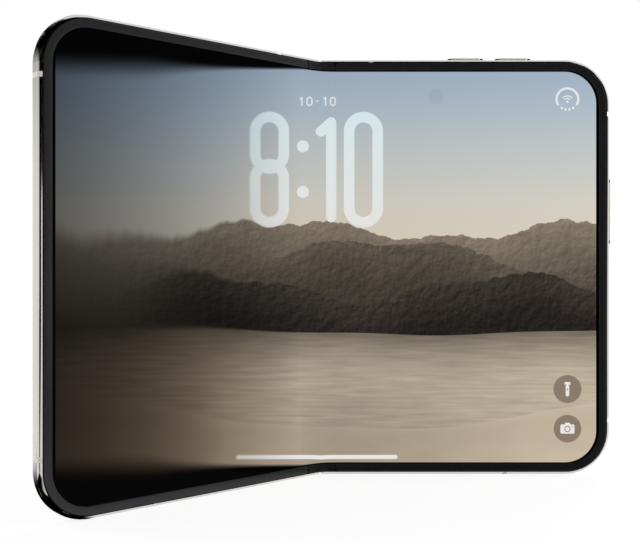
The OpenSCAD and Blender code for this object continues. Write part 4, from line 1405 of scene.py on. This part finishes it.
@dataclass
class Buttons(Assembly):
    """Side button and two volume buttons with softened edges, and painted shade at their ends."""

    length: float = 10.4
    width: float = 1.7
    out: float = 0.65
    side_length: float = 18.9
    side_out: float = 0.6
    edge: float = 0.22
    flange: float = 0.5
    flange_thickness: float = 0.35
    clearance: float = 0.06
    # dark pill that shows at the cap's ends as painted shade in the slot's gap
    gap_shade_show: float = 0.75
    gap_shade_width: float = 1.3
    gap_shade_out: float = 0.5
    volume_x: Spot = (42.5, 56.3)
    side_z: float = 76.5

    def blocks(self, name: str, stand: Matrix,
               *pills: tuple[float, float, float, float, float]) -> bpy.types.Object:
        """Makes a piece from blocks with round ends.

        Args:
            name: The piece's name.
            stand: Where its middle on the edge's outer face is.
            *pills: Length, width, foot, top and top edge of each block.

        Returns:
            The piece.
        """
        mould = Mould()
        for pill in pills:
            mould.pill(*pill)
        mould.mesh.transform(stand)
        return mould.piece(name, Place.RIGHT)

    def button(self, name: str, body: str, length: float, out: float, stand: Matrix) -> None:
        """Makes a cap with its flange inside the wall, and a dark pill at its ends as painted
        shade in the slot's gap.

        Args:
            name: The button's name.
            body: The body that it moves with.
            length: Its length over all.
            out: How far it stands out.
            stand: Where its middle on the edge's outer face is.
        """
        foot = -SIZES.wall - self.clearance
        cap = (length - 2 * self.gap_shade_show, self.width, foot, out, self.edge)
        flange = (length + 2 * self.flange, self.width, foot - self.flange_thickness, foot,
                  0.0)
        self.fit(self.blocks(f"{name}_key", stand, cap, flange), "button_metal", body,
                 f"{name}_button")
        # dark pill behind the cap, showing at its ends as painted shade in the slot's gap
        gap_shade = (length, self.gap_shade_width, foot, self.gap_shade_out, self.edge / 2)
        self.fit(self.blocks(f"{name}_seal", stand, gap_shade), "camera_housing", body)

    def build(self) -> None:
        """Makes the three buttons."""
        middle = SIZES.thickness / 2
        for name, x in zip(("volume_down", "volume_up"), self.volume_x):
            stand = Matrix.Translation((x, middle, SIZES.height))
            self.button(name, name, self.length, self.out, stand)
        stand = Matrix.Translation((SIZES.half_width, middle, self.side_z))
        stand = stand @ Matrix.Rotation(math.pi / 2, 4, "Y")
        self.button("side", "side_key", self.side_length, self.side_out, stand)


@dataclass(frozen=True)
class LensFinish:
    """Dark coated glass, with tinted rings about the lens' axis."""

    name: str
    centre: Vector
    tint: Colour = (0.016, 0.024, 0.06)
    glass: Colour = (0.004, 0.005, 0.007)
    pupil: float = 1.2
    outer: float = 3.4
    glow_start: float = 0.4
    glow_end: float = 2.2
    barrel_start: float = 0.9
    ridges: float = 9.0
    ridge_bump: float = 0.15
    ridge_depth: float = 0.01
    rough: Spot = (0.03, 0.3)
    barrel: Colour = (0.012, 0.012, 0.013)
    specular: float = 0.3
    coat: float = 0.3
    coat_rough: float = 0.02

    def build(self) -> bpy.types.Material:
        """Makes the material.

        Returns:
            The lens' material.
        """
        material, graph = new_material(self.name)
        arm = graph.vector("SUBTRACT", graph.on_object(), self.centre)
        flat = graph.vector("MULTIPLY", arm, (1.0, 0.0, 1.0))
        gap = graph.vector("LENGTH", flat) * (1 / MILLIMETRE)
        glow = graph.ease(gap, self.pupil * self.glow_start, self.pupil)
        glow = glow * graph.ease(gap, self.pupil * self.glow_end, self.pupil)
        colour = graph.mix(glow, self.glass, self.tint)
        ridge = graph.math("SINE", gap * self.ridges)
        dark = graph.ease(gap, self.outer * self.barrel_start, self.outer)
        graph.shade({
            "Base Color": graph.mix(dark, colour, self.barrel),
            "Roughness": graph.span(dark, *self.rough),
            "Specular IOR Level": self.specular,
            "Coat Weight": self.coat,
            "Coat Roughness": self.coat_rough,
            "Normal": graph.bump(ridge * dark, self.ridge_bump,
                                 self.ridge_depth * MILLIMETRE)})
        return material


@dataclass
class RearCameras(Assembly):
    """Camera plateau with two lenses in bright trims, and the flash."""

    lens_x: Spot = (56.1, 72.1)
    lens_z: float = 108.5
    plateau_x: Spot = (48.6, 79.6)
    plateau_width: float = 14.92
    base: float = 5.0
    top: float = 6.4
    edge: float = 0.45
    hole: float = 4.25
    trim_radius: float = 5.4
    trim_wall: float = 0.9
    trim_height: float = 1.1
    flash_x: float = 64.1
    flash_radius: float = 1.4
    flash_depth: float = 0.5
    flash_edge: float = 0.08
    flash_margin: float = 0.2
    flash_pole: float = 0.15
    flash_fit: float = 0.04
    pole_drop: float = 0.02
    groove_drop: float = 0.07
    ridge_drop: float = 0.01
    ridge_width: float = 0.05
    ridge_pitch: float = 0.14
    outer_lip: tuple[Spot, ...] = ((0.0, 0.35), (0.1, 0.12), (0.32, 0.0))
    inner_lip: tuple[Spot, ...] = ((0.22, 0.0), (0.05, 0.08), (0.0, 0.22))
    lens_seat: float = 0.3
    lens_sink: float = 0.2
    lens_rim: tuple[Spot, ...] = ((0.0, 0.0), (0.5, 0.0), (0.6, 0.1))
    lens_rings: tuple[Spot, ...] = ((3.1, 0.16), (3.0, 0.3), (2.5, 0.3), (2.42, 0.22),
                                    (1.9, 0.13), (1.3, 0.06), (0.7, 0.015), (0.0, 0.0))
    trim_segments: int = 96
    lens_segments: int = 72
    flash_segments: int = 48
    lens_smooth_deg: float = 25.0
    flash_smooth_deg: float = 20.0
    edge_segments: int = 5
    bore_reach: float = 1.0
    level_slack: float = 1e-3
    rim_angle: float = 1.0  # radians
    rim_gap: float = 0.5

    def turned(self, name: str, outline: Sequence[Spot], x: float, segments: int,
               smooth_deg: float = SMOOTH_DEG) -> bpy.types.Object:
        """Turns a round piece on the cameras' row.

        Args:
            name: The piece's name.
            outline: Radius and level of each point, in order.
            x: The axis' distance from the fold.
            segments: Steps of the full turn.
            smooth_deg: Edges sharper than this stay sharp.

        Returns:
            The piece.
        """
        mould = Mould()
        mould.lathe(outline, x, self.lens_z, segments)
        return mould.piece(name, Place.RIGHT, smooth_deg)

    def trim(self, name: str, x: float) -> bpy.types.Object:
        """Turns a lens trim with a rounded outer and inner lip.

        Args:
            name: The piece's name.
            x: The axis' distance from the fold.

        Returns:
            The piece.
        """
        outer, inner = self.trim_radius, self.trim_radius - self.trim_wall
        low, high = self.top, self.top + self.trim_height
        outline = [(outer, low),
                   *((outer - inset, high - drop) for inset, drop in self.outer_lip),
                   *((inner + inset, high - drop) for inset, drop in self.inner_lip),
                   (inner, low), (outer, low)]
        return self.turned(name, outline, x, self.trim_segments)

    def lens(self, name: str, x: float) -> bpy.types.Object:
        """Turns a lens, a domed front element in stepped dark rings.

        Args:
            name: The piece's name.
            x: The axis' distance from the fold.

        Returns:
            The piece.
        """
        low, rim = self.top + self.lens_seat, self.top + self.trim_height - self.lens_sink
        radius = self.trim_radius - self.trim_wall - SIZES.fit
        outline = [(0.0, low), (radius, low),
                   *((radius - inset, rim - drop) for inset, drop in self.lens_rim),
                   *((ring, rim - drop) for ring, drop in self.lens_rings)]
        return self.turned(name, outline, x, self.lens_segments, self.lens_smooth_deg)

    def flash(self) -> bpy.types.Object:
        """Turns the flash's cover with shallow concentric ridges.

        Returns:
            The piece.
        """
        low, high = self.top - self.flash_depth, self.top
        outline = [(0.0, low), (self.flash_radius, low),
                   (self.flash_radius, high - self.flash_edge),
                   (self.flash_radius - self.flash_edge, high)]
        radius = self.flash_radius - self.flash_margin
        while radius > self.flash_pole:
            outline += [(radius, high - self.groove_drop),
                        (radius - self.ridge_width, high - self.ridge_drop)]
            radius -= self.ridge_pitch
        outline.append((0.0, high - self.pole_drop))
        return self.turned("flash_cover", outline, self.flash_x, self.flash_segments,
                           self.flash_smooth_deg)

    def plateau(self) -> bpy.types.Object:
        """Makes the plateau with a soft edge and bores for the lenses and the flash.

        Returns:
            The piece.
        """
        mould = Mould()
        length = self.plateau_x[1] - self.plateau_x[0]
        mould.pill(length, self.plateau_width, self.base, self.top, 0.0)
        stand = Matrix.Translation((sum(self.plateau_x) / 2, 0, self.lens_z))
        mould.mesh.transform(stand @ Matrix.Rotation(-math.pi / 2, 4, "X"))
        body = mould.piece("rear_plateau", Place.RIGHT)
        cutters = Mould()
        above = self.top + self.bore_reach
        lens_bore = (self.hole, self.base - self.bore_reach)
        flash_bore = (self.flash_radius + self.flash_fit, self.top - self.flash_depth)
        for x, (radius, low) in zip((*self.lens_x, self.flash_x),
                                    (lens_bore, lens_bore, flash_bore)):
            cutters.lathe([(0.0, low), (radius, low), (radius, above), (0.0, above)], x,
                          self.lens_z, self.lens_segments)
        cutter = cutters.piece("plateau_bores", Place.RIGHT)
        cut = body.modifiers.new("bores", "BOOLEAN")
        cut.operation, cut.solver, cut.object = "DIFFERENCE", "EXACT", cutter
        settle(body)
        bpy.data.objects.remove(cutter)
        self.soften(body)
        return body

    def soften(self, body: bpy.types.Object) -> None:
        """Rounds the plateau's outer top edge.

        Args:
            body: The bored plateau.
        """
        bm = bmesh.new()
        bm.from_mesh(body.data)
        bm.transform(SIZES.placement(Place.RIGHT).inverted())
        centres = [(x, self.lens_z) for x in (*self.lens_x, self.flash_x)]
        rim = [e for e in bm.edges
               if min(v.co.y for v in e.verts) > self.top - self.level_slack
               and e.calc_face_angle(0.0) > self.rim_angle
               and min(math.dist(e.verts[0].co.xz, c) for c in centres) > self.hole + self.rim_gap]
        bevel(bm, rim, self.edge, self.edge_segments)
        bm.transform(SIZES.placement(Place.RIGHT))
        bm.to_mesh(body.data)
        bm.free()
        body.data.shade_smooth()
        body.data.set_sharp_from_angle(angle=math.radians(SMOOTH_DEG))

    def build(self) -> None:
        """Makes the plateau, the trims, the lenses and the flash."""
        body = "right_half"
        self.fit(self.plateau(), "plateau_glass", body, "camera_plateau")
        for which, x in zip(("main", "wide"), self.lens_x):
            self.fit(self.trim(f"{which}_lens_trim", x), "lens_ring_metal", body,
                     f"{which}_lens_ring")
            centre = SIZES.placement(Place.RIGHT) @ Vector((x, self.top, self.lens_z))
            glass = f"{which}_lens_glass"
            self.dresser.add(glass, LensFinish(glass, centre).build())
            self.fit(self.lens(f"{which}_lens", x), "lens_glass", body, glass, finish=glass)
        self.fit(self.flash(), "flash_lens", body, "flash")


@dataclass(frozen=True)
class CoverGlass:
    """Glass over the outer screen, with the dark screen, a camera and a slit behind it."""

    name: str = "cover_glass"
    screen: tuple[Spot, Spot] = ((-45.6, 60.3), (36.2, 57.2))
    screen_corner: float = 9.8
    camera: Spot = (-42.1, 109.8)
    slit: tuple[Spot, Spot] = ((-45.6, 118.55), (-38.6, 118.55))
    border_colour: Colour = (0.0035, 0.0035, 0.004)
    screen_colour: Colour = (0.0085, 0.0092, 0.0105)
    ring_colour: Colour = (0.035, 0.036, 0.04)
    lens_colour: Colour = (0.002, 0.0025, 0.008)
    slit_colour: Colour = (0.0015, 0.0015, 0.0015)
    border_cloud: float = 1.3
    cloud_scale: float = 140.0
    camera_hole: float = 2.75
    camera_ring: Spot = (2.2, 0.0)
    ring_half: float = 0.12
    pupil: float = 1.2
    slit_half: float = 0.22
    ink_edge: float = 0.04
    rough: Spot = (0.03, 0.07)
    slit_rough: float = 0.5
    specular: float = 0.25

    def build(self) -> bpy.types.Material:
        """Makes the material.

        Returns:
            The cover glass' material.
        """
        material, graph = new_material(self.name)
        place = graph.point(*graph.on_flat(Place.LEFT))
        cloud = graph.noise(graph.on_object(), self.cloud_scale, 3.0)
        lighter = tuple(part * self.border_cloud for part in self.border_colour)
        colour = graph.mix(cloud, self.border_colour, lighter)
        ring = Mark(MarkKind.RING, self.camera, self.camera_ring, self.ring_half)
        slit = Mark(MarkKind.STROKE, *self.slit, self.slit_half)
        for mark, ink in (
                (Mark(MarkKind.PLATE, *self.screen, self.screen_corner), self.screen_colour),
                (Mark(MarkKind.DOT, self.camera, radius=self.camera_hole), self.border_colour),
                (ring, self.ring_colour),
                (Mark(MarkKind.DOT, self.camera, radius=self.pupil), self.lens_colour)):
            colour = graph.mix(self.cover(graph, mark, place), colour, ink)
        on_slit = self.cover(graph, slit, place)
        graph.shade({
            "Base Color": graph.mix(on_slit, colour, self.slit_colour),
            "Specular IOR Level": self.specular,
            "Roughness": graph.span(cloud, *self.rough) + on_slit * self.slit_rough})
        return material

    def cover(self, graph: Graph, mark: Mark, place: Wire) -> Wire:
        """How far a mark covers a place, from 0 to 1."""
        return graph.ease(mark.distance(graph, place), self.ink_edge, -self.ink_edge)


@dataclass(frozen=True)
class FlashFinish:
    """Warm, speckled finish of the flash's cover."""

    name: str = "flash_lens"
    colour: Colour = (0.72, 0.66, 0.46)
    second: Colour = (0.62, 0.55, 0.34)
    rough: Spot = (0.2, 0.35)
    scale: float = 4000.0
    coat: float = 0.6

    def build(self) -> bpy.types.Material:
        """Makes the material.

        Returns:
            The flash cover's material.
        """
        material, graph = new_material(self.name)
        grain = graph.noise(graph.on_object(), self.scale, 3.0)
        graph.shade({
            "Base Color": graph.mix(grain, self.colour, self.second),
            "Roughness": graph.span(grain, *self.rough),
            "Coat Weight": self.coat})
        return material


@dataclass
class ChargingPort(Assembly):
    """Gold contact strips on the port's tongue."""

    x: float = 42.0
    pitch: float = 0.5
    count: int = 12
    strip_width: float = 0.25
    strip_height: float = 3.6
    strip_z: float = 2.2
    tongue: float = 0.7
    thickness: float = 0.03

    def build(self) -> None:
        """Adds the contact strips on both faces of the tongue."""
        mould = Mould()
        for side in (-1, 1):
            level = SIZES.thickness / 2 + side * (self.tongue + self.thickness) / 2
            for index in range(self.count):
                across = self.x + (index - (self.count - 1) / 2) * self.pitch
                size = Matrix.Diagonal((self.strip_width, self.thickness,
                                        self.strip_height, 1))
                shift = Matrix.Translation((across, level,
                                            self.strip_z + self.strip_height / 2))
                bmesh.ops.create_cube(mould.mesh, size=1, matrix=shift @ size)
        self.fit(mould.piece("port_contacts", Place.RIGHT), "gear_brass", "right_half")


def settle(piece: bpy.types.Object) -> None:
    """Applies a piece's modifiers to its mesh.

    Args:
        piece: The piece.
    """
    graph = bpy.context.evaluated_depsgraph_get()
    data = bpy.data.meshes.new_from_object(piece.evaluated_get(graph))
    piece.modifiers.clear()
    piece.data = data


@dataclass
class CarriedNodes(Assembly):
    """The nodes that stay as they are and get their slot's finish."""

    spare: str = "inner_plastic"

    def build(self) -> None:
        """Dresses every shown node that has no finish yet."""
        slots = {part["node"]: part["material_slot"] for part in frame["record"]["subparts"]}
        done = {"right_display", "left_display"}
        for name, node in frame["nodes"].items():
            if node.hide_render or name in done:
                continue
            slot = slots.get(name, self.spare)
            finish = {"display_panel": "camera_housing", "lens_glass": "outer_glass",
                      "outer_glass": "cover_glass"}.get(slot, slot)
            self.dresser.dress(node, finish)
            LOG.info("%s wears %s", name, finish)


# ---- Studio ----
class Axis(IntEnum):
    """Axis that a card is square to."""

    X = 0
    Y = 1
    Z = 2


@dataclass(frozen=True)
class DarkCard:
    """A black card with soft edges, square to one axis, in metres.

    Attributes:
        name: The card's name.
        axis: The axis that it is square to.
        level: Where it is on that axis.
        spots: Its corners on the other two axes in order round it, or two opposite ones.
        soft: Share of its length and height over which it thins out.
        one_sided: Whether it only shows from its front.
    """

    name: str
    axis: Axis
    level: float
    spots: tuple[Spot, ...]
    soft: Spot = (0.04, 0.04)
    one_sided: bool = False

    def corners(self) -> list[tuple[float, ...]]:
        """Gives the card's four corners.

        Returns:
            The corners in order round it.
        """
        spots = self.spots
        if len(spots) == 2:
            (left, low), (right, high) = spots
            spots = ((left, low), (right, low), (right, high), (left, high))
        return [(*spot[:self.axis], self.level, *spot[self.axis:]) for spot in spots]

    def material(self) -> bpy.types.Material:
        """Makes a black that thins out towards the card's edges.

        Returns:
            The card's material.
        """
        material, graph = new_material(self.name)
        place = graph.result("ShaderNodeUVMap", {}, uv_map="card")
        cover: Number = 1.0
        for spot, soft in zip(graph.parts(place), self.soft):
            inset = graph.math("MINIMUM", spot, 1.0 - spot)
            cover = graph.ease(inset, 0.0, soft) * cover
        if self.one_sided:
            cover = cover * (1.0 - graph.result("ShaderNodeNewGeometry", {}, "Backfacing"))
        black = graph.node("ShaderNodeEmission")
        black.inputs["Strength"].default_value = 0.0
        graph.show_mix(cover, graph.node("ShaderNodeBsdfTransparent"), black)
        return material

    def build(self) -> None:
        """Hangs the card, which only shows as a reflection in gloss and metal."""
        bm = bmesh.new()
        face = bm.faces.new([bm.verts.new(corner) for corner in self.corners()])
        layer = bm.loops.layers.uv.new("card")
        for loop, spot in zip(face.loops, ((0, 0), (1, 0), (1, 1), (0, 1))):
            loop[layer].uv = spot
        card = put(self.name, cast(bm, self.name))
        card.data.materials.append(self.material())
        card.visible_camera = card.visible_diffuse = card.visible_shadow = False
        card.visible_transmission = False


DARK_CARDS = (
    DarkCard("front_card", Axis.Y, -0.9, ((-0.03, -0.05), (0.95, 0.9)), (0.03, 0.03)),
    DarkCard("front_left_card", Axis.Y, -0.9, ((-0.9, -0.05), (-0.2, 0.9)), (0.08, 0.04)),
    DarkCard("front_lintel", Axis.Y, -0.9, ((-0.26, 0.13), (0.03, 0.9)), (0.06, 0.06)),
    DarkCard("right_card", Axis.X, 0.9, ((-0.95, -0.02), (0.02, 0.8)), (0.06, 0.26)),
    DarkCard("ceiling_card", Axis.Z, 0.85, ((-0.95, -0.95), (0.95, -0.05))),
    DarkCard("left_ceiling_card", Axis.Z, 0.85,
             ((-0.95, -0.16), (-0.08, -0.16), (-0.13, 0.02), (-0.95, 0.92)), (0.03, 0.03)),
    DarkCard("left_lintel", Axis.X, -0.9, ((-0.95, 0.12), (0.82, 1.7)), (0.04, 0.291)),
    DarkCard("rear_left_lintel", Axis.Y, 0.75, ((-0.95, 0.56), (-0.56, 0.9)), (0.04, 0.15)),
    DarkCard("rear_lintel", Axis.Y, 0.74, ((-0.64, 0.24), (-0.27, 0.9)), (0.12, 0.06)),
    DarkCard("corner_card", Axis.Y, -0.022, ((-0.125, -0.0145), (-0.067, 0.0145)),
             (0.06, 0.345), True),
    # painted shade in reflections: these make the floor by the left corner show dark in gloss and
    # metal
    DarkCard("floor_corner_card", Axis.Z, -0.00005,
             ((-0.084, -0.040), (-0.068, -0.040), (-0.062, -0.020), (-0.084, -0.020)),
             (0.1, 0.1)),
    DarkCard("floor_corner_shade", Axis.Z, -0.00004,
             ((-0.116, -0.07), (-0.066, -0.07), (-0.069, -0.021), (-0.112, -0.012)),
             (0.3, 0.14)),
    DarkCard("floor_left_card", Axis.Z, -0.00005,
             ((-0.945, -0.9), (-0.197, -0.9), (-0.0795, -0.066), (-0.111, -0.066)),
             (0.1, 0.02)),
    DarkCard("floor_right_card", Axis.Z, -0.00005,
             ((0.02, -0.9), (0.7, -0.9), (0.082, 0.0226), (-0.0085, 0.0226)),
             (0.002, 0.002)),
)
LAMP_AIM = Vector((0, 0, 0.06))
LAMPS = (("lamp_right", (0.9, -0.03, 0.3), 0.5, 14.0),
         ("lamp_left", (-0.85, 0.05, 0.45), 0.5, 5.0),
         ("lamp_rear", (0.4, 0.75, 0.75), 0.4, 8.0))


@dataclass
class Studio:
    """Camera, floor, lamps and surroundings."""

    lens: float = 50.0
    sensor: float = 36.0
    camera_x: float = -8.94
    camera_z: float = 60.3
    distance: float = 257.6
    shift_y: float = -0.0062
    clip: Spot = (0.01, 20.0)
    surround: float = 0.45
    floor_side: float = 6.0
    floor_colour: Colour = (0.9, 0.9, 0.9)
    floor_glow: float = 0.88
    floor_rough: float = 0.8
    floor_specular: float = 0.1
    floor_drop: float = 0.1
    glow_range: Spot = (0.08, 0.35)

    def camera(self) -> None:
        """Sets up the camera in front of the right half's display."""
        data = bpy.data.cameras.new("camera")
        data.lens, data.sensor_width = self.lens, self.sensor
        data.shift_y = self.shift_y
        data.clip_start, data.clip_end = self.clip
        camera = put("camera", data)
        level = -SIZES.origin_y - self.distance
        camera.location = Vector((self.camera_x, level, self.camera_z)) * MILLIMETRE
        camera.rotation_euler = (math.pi / 2, 0.0, 0.0)
        bpy.context.scene.camera = camera

    def seen_white(self, graph: Graph) -> Wire:
        """Tells the rays that see the plain white from those that light the phone.

        Args:
            graph: The material's graph.

        Returns:
            1 for the camera's rays and those that gloss or glass sends on, and 0 for the rest.
        """
        path = graph.node("ShaderNodeLightPath").outputs
        seen = graph.math("MAXIMUM", Wire(graph, path["Is Camera Ray"]),
                          Wire(graph, path["Is Glossy Ray"]))
        return graph.math("MAXIMUM", seen, Wire(graph, path["Is Transmission Ray"]))

    def world(self) -> None:
        """Lights the scene evenly and shows the camera a white background."""
        world = bpy.data.worlds.new("studio")
        bpy.context.scene.world = world
        world.use_nodes = True
        graph = Graph(world.node_tree)
        background = world.node_tree.nodes["Background"]
        background.inputs["Color"].default_value = (1.0, 1.0, 1.0, 1.0)
        strength = graph.span(self.seen_white(graph), self.surround, 1.0)
        graph.feed(background.inputs["Strength"], strength)

    def floor(self) -> None:
        """Lays a pale floor just under the phone."""
        bm = bmesh.new()
        bmesh.ops.create_grid(bm, x_segments=1, y_segments=1, size=self.floor_side / 2)
        floor = put("floor", cast(bm, "floor"))
        floor.location.z = -self.floor_drop * MILLIMETRE
        material, graph = new_material("floor")
        graph.shade({"Base Color": (*self.floor_colour, 1.0), "Roughness": self.floor_rough,
                     "Specular IOR Level": self.floor_specular})
        gap = graph.vector("LENGTH", graph.on_object())
        far = graph.span(graph.ease(gap, *self.glow_range), self.floor_glow, 1.0)
        graph.show_mix(far * self.seen_white(graph), graph.main_shader(),
                       graph.node("ShaderNodeEmission"))
        floor.data.materials.append(material)

    def lamp(self, name: str, place: Sequence[float], side: float, watts: float) -> None:
        """Adds a square soft lamp that points at the phone.

        Args:
            name: The lamp's name.
            place: Where it stands, in metres.
            side: Its side, in metres.
            watts: Its power.
        """
        data = bpy.data.lights.new(name, "AREA")
        data.size, data.energy = side, watts
        lamp = put(name, data)
        lamp.location = place
        lamp.visible_glossy = False
        way = LAMP_AIM - Vector(place)
        lamp.rotation_euler = way.to_track_quat("-Z", "Y").to_euler()

    def build(self) -> None:
        """Builds the whole studio."""
        self.camera()
        self.world()
        self.floor()
        for lamp in LAMPS:
            self.lamp(*lamp)
        for card in DARK_CARDS:
            card.build()
        bpy.context.scene.view_settings.view_transform = "Standard"
        LOG.info("studio ready")


def surface_twin(slot: str, name: str) -> Finish:
    """Gives a slot's finish under another name, following a bending piece's surface."""
    return replace(FINISHES[slot], name=name, follow=Follow.SURFACE)


def main() -> None:
    """Builds the studio and every sub-assembly."""
    logging.basicConfig(level=logging.INFO, format="%(message)s")
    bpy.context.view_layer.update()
    centre = tuple(SIZES.placement(Place.RIGHT) @ Vector(COIL_CENTRE))
    FINISHES["copper_coil"] = replace(FINISHES["copper_coil"], centre=centre)
    FINISHES["border_fold"] = surface_twin("black_bezel", "border_fold")
    FINISHES["flex_fold"] = surface_twin("flex_film", "flex_fold")
    dresser = Dresser(FINISHES)
    dresser.add("flash_lens", FlashFinish().build())
    dresser.add("cover_glass", CoverGlass().build())
    Studio().build()
    for assembly in (Screen, Fold, Borders, Buttons, RearCameras, ChargingPort, CarriedNodes):
        assembly(dresser).build()


if __name__ == "__main__":
    main()
